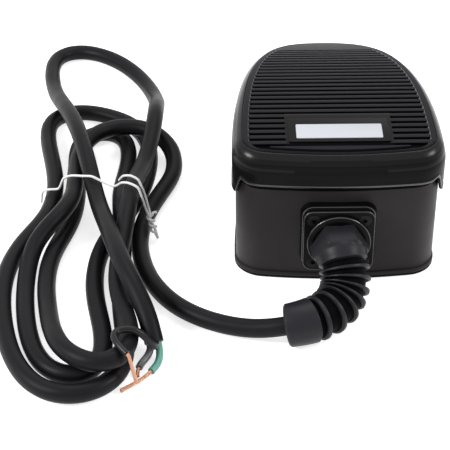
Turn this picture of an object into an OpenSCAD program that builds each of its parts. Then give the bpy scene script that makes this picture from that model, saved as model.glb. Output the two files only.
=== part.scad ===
// Industrial foot switch. A cast base holds a snap-action switch under a ribbed pedal cover.
// The cover turns on a pin near the heel. A mains lead leaves the front through a gland and
// lies beside the base as a tied hank. Millimetres, Z up, X across, lead side towards -Y.
// The origin is on the floor under the middle of the base.

/* [Base] */
// Length of the cast base, front face to heel
base_l = 148; // [144:1:156]
// Width of the cast base
base_w = 98; // [96:1:102]
// Wall thickness of the casting
wall_t = 3.2; // [2.8:0.1:3.6]
// Floor thickness of the casting
floor_t = 3; // [2.4:0.2:3.6]
// How far the front face bows out
bow = 4.6; // [3:0.2:6]
// Front corner radius of the base
base_r = 14.5; // [12:0.5:16]
// Thickness of the steel bottom plate
plate_t = 2.2; // [1.6:0.2:3]
// Thickness of the rubber sheet under the plate
sheet_t = 1.2; // [0.8:0.2:2]

/* [Pedal cover] */
// Height of the crown of the cover above the floor
pedal_top = 74.4; // [73:0.2:76]
// Radius of the crown, side view
crown_r = 320; // [300:5:360]
// Skirt thickness
skirt_t = 1.5; // [1.2:0.1:1.7]
// Running gap between skirt and base, at the sides
skirt_gap = 0.5; // [0.4:0.05:0.7]
// Running gap between skirt and base, front and heel
end_gap = 3; // [2.6:0.1:3.4]
// Radius of the rounded top edge
edge_r = 6.8; // [6:0.2:7.4]
// Height of the front edge of the skirt
skirt_z = 55.8; // [55.4:0.1:56.4]
// Height of the lower edge of the side skirts
ear_z = 46.5; // [45:0.5:49]
// Thickness of the top under the tread
top_t = 2.2; // [2:0.1:2.6]
// Depth of the tread recess
recess = 1.6; // [1.2:0.1:2]

/* [Tread] */
// Pitch of the tread grooves
groove_pitch = 4.46; // [4.2:0.02:4.8]
// Width of one groove
groove_w = 1.5; // [1:0.1:2]
// Depth of one groove
groove_d = 1; // [0.6:0.1:1.1]
// Number of grooves
groove_n = 27; // [20:1:27]
// Width of the label plate
label_w = 48; // [40:1:49]
// Depth of the label plate, front to back
label_d = 19; // [16:1:21]

/* [Hinge] */
// Distance of the hinge pin in front of the heel
hinge_in = 24; // [23:0.5:26]
// Height of the hinge pin
hinge_z = 30; // [28:0.5:32]
// Hinge pin diameter
pin_d = 6; // [5:0.5:7]
// Running clearance on the pin, on radius
pin_gap = 0.05; // [0.02:0.01:0.1]
// Thickness of each ear on the pedal bracket
ear_t = 3; // [2.4:0.2:3.4]

/* [Springs] */
// Mean diameter of each return spring
spring_d = 14; // [12:0.5:16]
// Spring wire diameter
wire_d = 1.8; // [1.4:0.1:2]
// Turns in each spring
spring_turns = 8; // [6:1:9]
// Distance of each spring from the middle
spring_x = 28; // [27:0.5:29]

/* [Switch] */
// Length of the switch case
sw_l = 49; // [48:0.5:50]
// Width of the switch case
sw_w = 17.4; // [16:0.2:18]
// Height of the switch case
sw_h = 24; // [23:0.5:25]
// Diameter of the lever roller
roller_d = 9; // [8:0.5:9.5]
// Diameter of the adjusting screw
adj_d = 5; // [4:0.5:5]

/* [Gland] */
// Height of the lead's exit
gland_z = 27.2; // [26.6:0.1:28]
// Side of the square gland plate
gland_s = 34; // [33:0.5:35]
// Screw pitch from the middle of the gland
gland_p = 12; // [11.5:0.1:12.5]
// Diameter of the flange of the gland nut
collar_d = 30.6; // [29:0.2:31]
// Width across the flats of the bend relief's hexagonal head
head_af = 24; // [23:0.2:24.4]
// Diameter of the largest ring of the bend relief
relief_d = 24.8; // [24:0.1:25]

/* [Lead] */
// Outer diameter of the lead
cord_d = 9; // [8:0.1:9]
// Diameter of one insulated core
core_d = 3.5; // [3:0.1:3.6]

/* [Hidden] */
$fn = 48;
eps = 0.01;
gap = 0.15;
zb0 = sheet_t + plate_t;
zf = zb0 + floor_t;
bx = base_w / 2;
by = base_l / 2;
hinge_y = by - hinge_in;
lx = bx + skirt_gap + skirt_t;
ly = by + end_gap + skirt_t;
rim_in = 1;
mat_in = rim_in + 4.4;
rec_in = rim_in + 3.9;
bow_l = bow * 0.95;
ped_r = base_r + 2;
sup_n = 2.12;
ri = 4;
sw_y = -1;
sw_z = 14;
sw_top = sw_z + sw_h;
lev_y = sw_y + 21;
lev_z = sw_top + 4.8;
rol_y = sw_y - 21;
rol_z = lev_z + 5.5;
btn_y = sw_y;
brk_t = 2;
gy0 = -by - 3.2;
gy1 = gy0 - 0.8;
gy2 = gy1 - 2.5;
gy3 = gy2 - 3.5;
cord_y0 = -84;
cord_r = cord_d / 2;

// ---------- shared outlines ----------
// Half outline of the plan: bowed front, round corner, then a long superellipse to the heel.
function half_plan(hw, hl, r, b) =
  let (a0 = atan(2 * b * (hw - r) / (hw * hw)), xt = hw - r + r * sin(a0),
       yt = -hl + b * pow(xt / hw, 2), yc = yt + r * cos(a0))
  concat(
    [for (i = [0:5]) let (x = xt * i / 6) [x, -hl + b * pow(x / hw, 2)]],
    [for (i = [0:9]) let (a = -90 + a0 + (90 - a0) * i / 9) [hw - r + r * cos(a), yc + r * sin(a)]],
    [for (i = [1:22]) let (a = 90 * i / 22)
      [i == 22 ? 0 : hw * pow(cos(a), 2 / sup_n), yc + (hl - yc) * pow(sin(a), 2 / sup_n)]]);

// Full outline, counter-clockwise from the middle of the front.
function full_plan(h) =
  concat(h, [for (i = [len(h) - 2:-1:1]) [-h[i][0], h[i][1]]]);

function base_plan(d) = full_plan(half_plan(bx - d, by - d, base_r - d, bow));
function lid_half(d) = half_plan(lx - d, ly - d, ped_r - d, bow_l);

// Height of the cover's crown at y.
function crown(y) =
  let (u = y + 35) pedal_top - u * u / (2 * crown_r) - 0.0000027 * u * u * u;
function under(y) = crown(y) - recess - top_t;

// Slope of the crown at y, in degrees.
function tilt(y) = let (u = y + 35) -atan(u / crown_r + 0.0000081 * u * u);

// Lower edge of the skirt: higher at the front, a small arch at the corner, then the ears.
function hem(p) =
  let (y = p[1], f = -ly + bow_l)
  y < f + 1.5 ? skirt_z
  : y < f + 4.5 ? skirt_z + 0.9
  : y < f + 8 ? skirt_z - (skirt_z - ear_z) * 0.85
  : y < -20 ? ear_z : max(26, ear_z - (y + 20) * 0.34);

// ---------- swept tubes ----------
function unit(v) = v / norm(v);
// Point on a uniform cubic spline, k control points in.
function knot(p, i) =
  i <= 0 ? p[0] : i >= len(p) - 1 ? p[len(p) - 1] : (p[i - 1] + 4 * p[i] + p[i + 1]) / 6;
function mid(p, i) =
  let (a = i > 0 ? p[i - 1] : 2 * p[0] - p[1], b = p[i], c = p[i + 1],
       d = i + 2 < len(p) ? p[i + 2] : 2 * p[len(p) - 1] - p[len(p) - 2])
  (a + 23 * b + 23 * c + d) / 48;
function dir(c, i) =
  unit(i == 0 ? c[1] - c[0] : i == len(c) - 1 ? c[i] - c[i - 1]
    : unit(c[i] - c[i - 1]) + unit(c[i + 1] - c[i]));
// Carries a side vector along the route without twist.
function carry(c, i, s, out) =
  i == len(c) ? out
  : let (t = dir(c, i), n = unit(s - (s * t) * t)) carry(c, i + 1, n, concat(out, [n]));
function ring(p, t, s, r, m) =
  let (q = cross(t, s)) [for (k = [0:m - 1]) p + r * (cos(360 * k / m) * s + sin(360 * k / m) * q)];

// Solid tube along points c with radius list r and m sides.
module tube(c, r, m, s0) {
  s = carry(c, 0, s0, []);
  n = len(c);
  pts = [for (i = [0:n - 1]) each ring(c[i], dir(c, i), s[i], r[i], m)];
  polyhedron(pts, concat(
    [[for (k = [0:m - 1]) k]],
    [for (i = [0:n - 2], k = [0:m - 1])
      [i * m + k, (i + 1) * m + k, (i + 1) * m + (k + 1) % m, i * m + (k + 1) % m]],
    [[for (k = [m - 1:-1:0]) (n - 1) * m + k]]));
}

// Hollow sleeve between a list of outer rings and a list of bore rings.
module ring_sleeve(outer, bore) {
  m = len(outer[0]);
  n = len(outer);
  h = n * m;
  polyhedron([for (r = concat(outer, bore)) each r], concat(
    [for (i = [0:n - 2], k = [0:m - 1])
      [i * m + k, (i + 1) * m + k, (i + 1) * m + (k + 1) % m, i * m + (k + 1) % m]],
    [for (i = [0:n - 2], k = [0:m - 1])
      [h + i * m + k, h + i * m + (k + 1) % m, h + (i + 1) * m + (k + 1) % m, h + (i + 1) * m + k]],
    [for (k = [0:m - 1]) [k, (k + 1) % m, h + (k + 1) % m, h + k]],
    [for (k = [0:m - 1])
      [(n - 1) * m + k, h + (n - 1) * m + k, h + (n - 1) * m + (k + 1) % m, (n - 1) * m + (k + 1) % m]]));
}

// ---------- small helpers ----------
module across(x0, x1) {
  translate([x0, 0, 0]) rotate([90, 0, 90]) linear_extrude(x1 - x0) children();
}
module along_y(y0, y1) {
  translate([0, y1, 0]) rotate([90, 0, 0]) linear_extrude(y1 - y0) children();
}
module hexa(d, h) {
  cylinder(d = d, h = h, $fn = 6);
}

// ---------- base ----------
module base_housing() {
  color("#1d1e20") difference() {
    union() {
      walls(0, recess + top_t + 5.5);
      walls(1.4, recess + top_t + 2.8);
      translate([-gland_s / 2 - 1, gy0, gland_z - gland_s / 2 - 0.5])
        cube([gland_s + 2, 8, gland_s + 0.8]);
    }
    difference() {
      translate([0, 0, zf]) linear_extrude(80) polygon(base_plan(wall_t));
      for (s = [-1, 1]) {
        translate([s * 34, -by + 18, 0]) cylinder(r = 6, h = 54);
        translate([s * 11, by - 13, 0]) cylinder(r = 5, h = zf + 8);
        translate([s * 30, 14, 0]) cylinder(r = 5, h = zf + 8);
        across(s > 0 ? 16 : -19.5, s > 0 ? 19.5 : -16) hinge_lug();
      }
    }
    for (s = [-1, 1]) {
      translate([s * 34, -by + 18, 0]) cylinder(r = 2.05, h = zf + 12);
      translate([s * 34, -by + 18, 44]) cylinder(r = 2.1, h = 20);
      translate([s * 11, by - 13, 0]) cylinder(r = 2.05, h = zf + 6);
      translate([s * 30, 14, zf + 1]) cylinder(r = 2.05, h = 20);
      translate([11.5, sw_y + s * 13, zf - 2.6]) cylinder(r = 2.05, h = 10);
    }
    hole_x(-30, 30, hinge_y, hinge_z, pin_d / 2 + pin_gap);
    hole_y(-by + 12, gy0 - 1, 12.2);
    for (x = [-gland_p, gland_p], z = [-gland_p, gland_p])
      translate([x, gy0 + 8, gland_z + z]) rotate([90, 0, 0]) cylinder(r = 1.75, h = 10);
  }
}
// Outer block of the casting: inset d, top dz under the crown, clear of the pressed cover.
module walls(d, dz) {
  intersection() {
    translate([0, 0, zb0]) linear_extrude(80) polygon(base_plan(d));
    across(-70, 70) polygon(concat([[-by - 20, 0], [by + 20, 0]],
      [for (i = [0:16]) let (y = by + 4 - i * (2 * by + 8) / 16)
        [y, crown(y) - dz - max(0, (hinge_y - y) * 0.05)]]));
  }
}
module hinge_lug() {
  polygon([[hinge_y - 8, 0], [hinge_y + 8, 0], [hinge_y + 8, hinge_z], [hinge_y + 6, hinge_z + 5],
    [hinge_y + 2, hinge_z + 8], [hinge_y - 2, hinge_z + 8], [hinge_y - 6, hinge_z + 5],
    [hinge_y - 8, hinge_z]]);
}
module hole_x(x0, x1, y, z, r) {
  translate([x0, y, z]) rotate([0, 90, 0]) cylinder(r = r, h = x1 - x0);
}
module hole_y(y1, y0, r) {
  translate([0, y1, gland_z]) rotate([90, 0, 0]) cylinder(r = r, h = y1 - y0);
}
module foot_holes(r) {
  for (s = [-1, 1]) {
    translate([s * 34, -by + 18, -1]) cylinder(r = r, h = 20);
    translate([s * 11, by - 13, -1]) cylinder(r = r, h = 20);
  }
}
module bottom_plate() {
  color("#232427") difference() {
    translate([0, 0, sheet_t]) linear_extrude(plate_t) polygon(base_plan(-0.7));
    foot_holes(2.1);
    for (s = [-1, 1]) {
      translate([s * 34, -by + 18, sheet_t - eps]) cylinder(r1 = 4, r2 = 2.1, h = plate_t * 0.9);
      translate([s * 11, by - 13, sheet_t - eps]) cylinder(r1 = 4, r2 = 2.1, h = plate_t * 0.9);
    }
  }
}
module non_slip_sheet() {
  color("#141414") difference() {
    linear_extrude(sheet_t) polygon(base_plan(-0.6));
    foot_holes(4.5);
  }
}
module bottom_screws() {
  color("#8a8d90") for (s = [-1, 1]) {
    translate([s * 34, -by + 18, sheet_t]) flat_screw(14);
    translate([s * 11, by - 13, sheet_t]) flat_screw(8);
  }
}
module flat_screw(l) {
  difference() {
    union() {
      translate([0, 0, 0.05]) cylinder(r1 = 3.8, r2 = 2, h = plate_t * 0.88);
      cylinder(r = 2, h = l);
    }
    translate([-2.4, -0.4, -0.1]) cube([4.8, 0.8, 0.9]);
  }
}

// ---------- pedal cover ----------
// One loop of the cover: inset d, height taken from the crown less dz.
function loop(d, dz) = [for (p = full_plan(lid_half(d))) [p[0], p[1], crown(p[1]) - dz]];
function hem_loop(d) =
  let (o = full_plan(lid_half(0)), q = full_plan(lid_half(d)))
  [for (k = [0:len(o) - 1]) [q[k][0], q[k][1], hem(o[k])]];
function flat_loop(d) =
  [for (p = full_plan(lid_half(d))) [p[0], p[1], min(60.5, crown(p[1]) - edge_r - 5)]];
module pedal_cover() {
  outer = concat([hem_loop(0), flat_loop(0.1)],
    [for (a = [0, 22, 44, 64]) loop(rim_in + edge_r * (1 - cos(a)), edge_r * (1 - sin(a)))],
    [loop(rec_in + 0.05, recess)]);
  inner = concat([hem_loop(skirt_t), loop(skirt_t + 0.1, 9)],
    [for (a = [0, 30, 60, 90])
      loop(skirt_t + rim_in + ri * (1 - cos(a)), recess + top_t + ri * (1 - sin(a)))]);
  m = len(outer[0]);
  a = len(outer);
  b = len(inner);
  h = a * m;
  half = m / 2;
  color("#1b1c1e") polyhedron([for (r = concat(outer, inner)) each r], concat(
    [for (i = [0:a - 2], k = [0:m - 1])
      [i * m + k, (i + 1) * m + k, (i + 1) * m + (k + 1) % m, i * m + (k + 1) % m]],
    [for (i = [0:b - 2], k = [0:m - 1])
      [h + i * m + k, h + i * m + (k + 1) % m, h + (i + 1) * m + (k + 1) % m, h + (i + 1) * m + k]],
    [for (k = [0:m - 1]) [k, (k + 1) % m, h + (k + 1) % m, h + k]],
    lid_strips((a - 1) * m, m, half, false),
    lid_strips(h + (b - 1) * m, m, half, true)));
}
// Strips across a loop, from the front point to the heel point.
function lid_strips(s, m, half, down) =
  [for (j = [0:half - 1])
    let (f = j == 0 ? [s, s + m - 1, s + 1]
      : j == half - 1 ? [s + j, s + m - j, s + half]
      : [s + j, s + m - j, s + m - j - 1, s + j + 1])
    down ? [for (q = [len(f) - 1:-1:0]) f[q]] : f];

// ---------- tread ----------
function groove_y(i) = -by + 2.7 + i * groove_pitch;
function width_at(hw, hl, r, y) =
  let (yc = -hl + r + bow_l * 0.7)
  y < yc ? hw - r + sqrt(max(0, r * r - (yc - y) * (yc - y)))
    : hw * pow(max(0, 1 - pow((y - yc) / (hl - yc), sup_n)), 1 / sup_n);
function groove_hw(y) = width_at(lx - mat_in - 3.4, ly - mat_in - 3, ped_r - mat_in - 2, y);
label_y = -by + 17.8;
module tread_mat() {
  color("#26272a") difference() {
    intersection() {
      translate([0, 0, 30]) linear_extrude(60) polygon(full_plan(lid_half(mat_in)));
      across(-60, 60) polygon(concat(
        [for (i = [0:24]) let (y = -ly + i * 2 * ly / 24) [y, crown(y) - recess + gap]],
        [for (i = [24:-1:0]) let (y = -ly + i * 2 * ly / 24) [y, crown(y) + 0.2]]));
    }
    for (i = [0:groove_n - 1]) {
      y = groove_y(i);
      w = groove_hw(y);
      c = abs(y - label_y) < label_d / 2 + 1.6 ? label_w / 2 + 1.4 : 0;
      if (w > c + 2) translate([0, y, crown(y) + 0.2]) rotate([tilt(y), 0, 0]) {
        if (c == 0) translate([-w, -groove_w / 2, -groove_d]) cube([2 * w, groove_w, 3]);
        if (c > 0) {
          translate([-w, -groove_w / 2, -groove_d]) cube([w - c, groove_w, 3]);
          translate([c, -groove_w / 2, -groove_d]) cube([w - c, groove_w, 3]);
        }
      }
    }
  }
}
module on_label(dz) {
  translate([0, label_y, crown(label_y) + 0.2]) rotate([tilt(label_y), 0, 0])
    translate([0, 0, dz]) children();
}
module label_plate() {
  color("#0e0e0f") on_label(gap)
    translate([-label_w / 2, -label_d / 2, 0]) cube([label_w, label_d, 0.7]);
}
module label_panel() {
  color("#d9dadb") on_label(gap + 0.7)
    translate([-label_w / 2 + 3.7, -label_d / 2 + 2.4, 0]) cube([label_w - 7.4, 11.2, 0.4]);
}

// ---------- pedal bracket and hinge ----------
function brk_top(y) = under(y) - gap;
module brk_strip(y0, y1) {
  polygon(concat(
    [for (i = [0:8]) let (y = y0 + i * (y1 - y0) / 8) [y, brk_top(y) - brk_t]],
    [for (i = [8:-1:0]) let (y = y0 + i * (y1 - y0) / 8) [y, brk_top(y)]]));
}
module pedal_bracket() {
  y0 = hinge_y - 8;
  y1 = hinge_y + 7;
  color("#6f7376") difference() {
    union() {
      across(-38, 38) brk_strip(-48, -12);
      across(-15, 15) brk_strip(-12.5, y1);
      for (s = [-1, 1]) {
        across(s > 0 ? 12 : -12 - ear_t, s > 0 ? 12 + ear_t : -12) {
          polygon([[y0, hinge_z], [y1, hinge_z], [y1, brk_top(y1) - 1], [y0, brk_top(y0) - 1]]);
        }
        hole_x(s > 0 ? 12 : -12 - ear_t, s > 0 ? 12 + ear_t : -12, hinge_y, hinge_z, 8);
        translate([s * spring_x, -30, brk_top(-30) - brk_t - 5])
          cylinder(r = (spring_d - wire_d) / 2 - 0.6, h = 6);
      }
      translate([0, rol_y, brk_top(rol_y) - brk_t - 6]) cylinder(r = 6, h = 7);
    }
    hole_x(-30, 30, hinge_y, hinge_z, pin_d / 2 + pin_gap);
    translate([0, rol_y, 40]) cylinder(r = adj_d / 2 + 0.05, h = brk_top(rol_y) - 41);
    studs() cylinder(r = 1.6, h = 20, center = true);
  }
}
module studs() {
  for (x = [-14, 14]) translate([x, -40, brk_top(-40)]) children();
  for (x = [-8, 8]) translate([x, 20, brk_top(20)]) children();
}
module bracket_studs() {
  color("#9a9d9f") studs() {
    translate([0, 0, -6.5]) cylinder(r = 1.5, h = 6.1);
    translate([0, 0, -brk_t - 3.1]) difference() {
      hexa(7, 2.4);
      translate([0, 0, -1]) cylinder(r = 1.49, h = 5);
    }
  }
}
module hinge_pin() {
  color("#a7abae") difference() {
    hole_x(-22, 22, hinge_y, hinge_z, pin_d / 2);
    for (s = [-1, 1]) difference() {
      hole_x(s > 0 ? 19.9 : -20.9, s > 0 ? 20.9 : -19.9, hinge_y, hinge_z, pin_d);
      hole_x(-23, 23, hinge_y, hinge_z, pin_d / 2 - 0.5);
    }
  }
}
module pin_clips() {
  color("#55585b") for (s = [-1, 1]) difference() {
    hole_x(s > 0 ? 20 : -20.8, s > 0 ? 20.8 : -20, hinge_y, hinge_z, pin_d / 2 + 2);
    hole_x(-30, 30, hinge_y, hinge_z, pin_d / 2 - 0.4);
    translate([-30, hinge_y - 1.5, hinge_z - 10]) cube([60, 3, 9]);
  }
}

// ---------- return springs ----------
spring_z0 = 30;
spring_z1 = brk_top(-30) - brk_t;
module spring(x) {
  a = spring_z0 + wire_d / 2 + 0.1;
  b = spring_z1 - wire_d / 2 - 0.35;
  n = spring_turns * 12;
  c = [for (i = [0:n]) let (t = 360 * i / 12)
    [x + spring_d / 2 * cos(t), -30 + spring_d / 2 * sin(t), a + (b - a) * i / n]];
  tube(c, [for (i = [0:n]) wire_d / 2], 6, [1, 0, 0]);
}
module spring_left() {
  color("#b9bcbf") spring(-spring_x);
}
module spring_right() {
  color("#b9bcbf") spring(spring_x);
}
module spring_posts() {
  color("#3a3c3f") for (s = [-1, 1]) translate([s * spring_x, -30, 0]) {
    translate([0, 0, zf]) cylinder(r = 9.5, h = spring_z0 - zf);
    translate([0, 0, zf]) cylinder(r = (spring_d - wire_d) / 2 - 0.6, h = spring_z0 - zf + 8);
  }
}

// ---------- switch ----------
module screw_z(l, hd, hh, d) {
  translate([0, 0, -l]) cylinder(d = d, h = l + hh);
  difference() {
    cylinder(d = hd, h = hh);
    translate([-hd, -0.4, hh * 0.5]) cube([2 * hd, 0.8, hh]);
  }
}
adj_z0 = rol_z + roller_d / 2 + 0.4;
module adjusting_screw() {
  color("#a7abae") translate([0, rol_y, adj_z0]) difference() {
    cylinder(d = adj_d, h = brk_top(rol_y) - 2.4 - adj_z0);
    translate([-5, -0.4, -0.1]) cube([10, 0.8, 1]);
  }
}
module adjusting_nut() {
  color("#8a8d90") translate([0, rol_y, brk_top(rol_y) - brk_t - 10.2]) difference() {
    hexa(9.2, 4);
    translate([0, 0, -1]) cylinder(d = adj_d + 0.06, h = 6);
  }
}
module switch_body(x0, x1) {
  translate([x0, sw_y - sw_l / 2, sw_z]) cube([x1 - x0, sw_l, sw_h]);
}
module switch_holes() {
  for (s = [-1, 1]) hole_x(-20, 20, sw_y + s * 12.7, sw_z + 5, 2.1);
  translate([0, btn_y, sw_top - 6]) cylinder(r = 2.3, h = 10);
}
module switch_case() {
  color("#2b2320") difference() {
    union() {
      switch_body(-sw_w / 2, 5);
      for (x = [-5, 4]) translate([x, lev_y - 3, sw_top - 1])
        cube([1, 6, lev_z - sw_top + 3.4]);
    }
    switch_holes();
    hole_x(-20, 20, lev_y, lev_z, 1.05);
  }
}
module switch_cover() {
  color("#3a2f2a") difference() {
    switch_body(5, sw_w / 2);
    switch_holes();
  }
}
module switch_button() {
  color("#a02a20") translate([0, btn_y, sw_top - 3.5]) cylinder(r = 2.2, h = lev_z - 0.9 - sw_top + 3.5);
}
module switch_lever() {
  color("#b4b7ba") difference() {
    union() {
      translate([-3.7, rol_y - 3, lev_z - 0.6]) cube([7.4, lev_y - rol_y + 3, 1.2]);
      hole_x(-3.7, 3.7, lev_y, lev_z, 2);
      for (x = [-3.7, 2.9]) translate([x, rol_y - 3, lev_z - 0.6]) cube([0.8, 6, rol_z - lev_z + 3]);
    }
    hole_x(-20, 20, lev_y, lev_z, 1.04);
    hole_x(-20, 20, rol_y, rol_z, 1.04);
  }
}
module lever_pivot() {
  color("#8a8d90") hole_x(-5.6, 5.6, lev_y, lev_z, 1);
}
module lever_roller() {
  color("#d8d4c8") difference() {
    hole_x(-2.6, 2.6, rol_y, rol_z, roller_d / 2);
    hole_x(-5, 5, rol_y, rol_z, 1.05);
  }
}
module roller_pin() {
  color("#8a8d90") hole_x(-4.3, 4.3, rol_y, rol_z, 1);
}
module terminal_at(s, z, tab) {
  y = sw_y + s * sw_l / 2;
  translate([0, y + s * 3.5, z]) children();
}
module switch_terminals() {
  color("#b08a3e") {
    for (q = [[-1, 18], [1, 18], [1, 28]]) translate([-3.5, q[0] > 0 ? sw_y + sw_l / 2
      : sw_y - sw_l / 2 - 7, q[1]]) difference() {
        cube([7, 7, 1]);
        translate([3.5, 3.5, -1]) cylinder(r = 1.6, h = 5);
      }
  }
}
module terminal_screws() {
  color("#c9ccce") for (q = [[-1, 18], [1, 18], [1, 28]])
    translate([0, sw_y + q[0] * (sw_l / 2 + 3.5), q[1] + 1.02]) screw_z(4, 5, 1.8, 3);
}
module switch_bracket() {
  color("#7d8184") difference() {
    union() {
      translate([-sw_w / 2 - 2, sw_y - 18, zf]) cube([24, 36, 2]);
      translate([-sw_w / 2 - 2, sw_y - 18, zf]) cube([2, 36, 26]);
    }
    switch_holes();
    for (s = [-1, 1]) translate([11.5, sw_y + s * 13, zf - 1]) cylinder(r = 2.1, h = 5);
  }
}
module switch_screws() {
  color("#9a9d9f") for (s = [-1, 1]) translate([0, sw_y + s * 12.7, sw_z + 5]) rotate([0, 90, 0]) {
    translate([0, 0, -sw_w / 2 - 6]) cylinder(r = 2, h = sw_w + 6);
    translate([0, 0, sw_w / 2]) cylinder(r = 3.4, h = 2);
    translate([0, 0, -sw_w / 2 - 5]) hexa(7.4, 3);
  }
}
module bracket_screws() {
  color("#9a9d9f") for (s = [-1, 1]) translate([11.5, sw_y + s * 13, zf + 2]) screw_z(4.4, 7, 2, 4);
}
module earth_screw() {
  color("#3f8f55") translate([30, 14, zf + 8]) screw_z(6, 8, 2.4, 4);
}
module stop_bumpers() {
  color("#171717") for (s = [-1, 1]) translate([s * 34, -by + 18, 0]) {
    translate([0, 0, 54]) cylinder(r = 6, h = 9.6);
    translate([0, 0, 46]) cylinder(r = 2, h = 9);
  }
}

// ---------- gland ----------
module plate_2d(s) {
  r = 4.5;
  union() {
    square([s - 2 * r, s], center = true);
    square([s, s - 2 * r], center = true);
    for (x = [-1, 1], y = [-1, 1]) translate([x * (s / 2 - r), y * (s / 2 - r)]) circle(r);
  }
}
module gland_slab(y0, y1, r) {
  difference() {
    along_y(y0, y1) translate([0, gland_z]) plate_2d(gland_s);
    hole_y(y1 + 1, y0 - 1, 12.2);
    for (x = [-gland_p, gland_p], z = [-gland_p, gland_p])
      translate([x, y1 + 1, gland_z + z]) rotate([90, 0, 0]) cylinder(r = r, h = 8);
  }
}
module gland_gasket() {
  color("#101010") gland_slab(gy1, gy0, 1.8);
}
module gland_plate() {
  color("#1f2022") difference() {
    gland_slab(gy2, gy1, 1.8);
    for (x = [-gland_p, gland_p], z = [-gland_p, gland_p])
      translate([x, gy2 + 1.2, gland_z + z]) rotate([90, 0, 0]) cylinder(r = 3.1, h = 3);
  }
}
module gland_screws() {
  color("#2a2b2d") for (x = [-gland_p, gland_p], z = [-gland_p, gland_p])
    translate([x, gy2 + 1.2, gland_z + z]) rotate([90, 0, 0]) difference() {
      union() {
        cylinder(r = 3, h = 1.1);
        translate([0, 0, -7]) cylinder(r = 1.7, h = 7.5);
      }
      translate([-4, -0.35, 0.5]) cube([8, 0.7, 2]);
    }
}
module gland_body() {
  color("#202123") difference() {
    union() {
      hole_y(-by + 9, gy2, 12);
      hole_y(gy2, gy3 + 0.6, 9.5);
    }
    hole_y(-by + 10, gy3 - 5, 6.6);
  }
}
module gland_locknut() {
  color("#7b7e80") difference() {
    along_y(-by + 5.4, -by + 8.4) translate([0, gland_z]) circle(d = 32, $fn = 6);
    hole_y(-by + 10, -by, 12.08);
  }
}
module gland_seal() {
  color("#151515") difference() {
    hole_y(-by + 8, gy2, 6.5);
    hole_y(-by + 9, gy2 - 1, cord_r + 0.12);
  }
}
module gland_nut() {
  color("#1d1e20") difference() {
    union() {
      hole_y(gy2, gy3 + 1.7, collar_d / 2);
      translate([0, gy3 + 1.7, gland_z]) rotate([90, 0, 0])
        cylinder(r1 = collar_d / 2, r2 = collar_d / 2 - 0.5, h = 0.5);
      hole_y(gy2, gy3, collar_d / 2 - 2.2);
    }
    hole_y(gy2 + 1, gy3 + 0.5, 9.6);
    hole_y(gy3 + 1, gy3 - 1, 6.6);
  }
}

// ---------- inner lead ----------
module inner_lead() {
  color("#2c2c2e") hole_y(-by + 22, gy3, cord_r);
}
// Each wire ends beside its terminal or at the earth screw.
module inner_wires() {
  y = -by + 22.2;
  f = sw_y - sw_l / 2 - 7.4;
  r = sw_y + sw_l / 2 + 3.5;
  x = sw_w / 2 + 7.3;
  color("#2d2d30") tube([[0, y, gland_z + 1.9], [0, (y + f) / 2 - 3, gland_z + 1.8],
    [0, (y + f) / 2 + 3, gland_z - 3], [0, f - 2.8, 21], [0, f, 18.5]],
    [for (i = [0:4]) 1.2], 8, [1, 0, 0]);
  color("#d8d8d4") tube([[-1.7, y, gland_z - 1.2], [-1.9, y + 2, gland_z - 1.3], [-5, y + 7, gland_z - 3],
    [-13, y + 14, 20], [-x, y + 27, 13], [-x, r - 17, 12], [-13, r - 2, 15], [-8, r, 18],
    [-3.9, r, 18.5]], [for (i = [0:8]) 1.2], 8, [1, 0, 0]);
  color("#2f8a6a") tube([[1.7, y, gland_z - 1.2], [1.9, y + 2, gland_z - 1.3], [5, y + 7, gland_z - 3],
    [12, y + 14, 20], [x, y + 24, 13], [x + 1, -10, 11], [19, 4, 12], [24.9, 13.5, 16]],
    [for (i = [0:7]) 1.2], 8, [1, 0, 0]);
}

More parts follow.
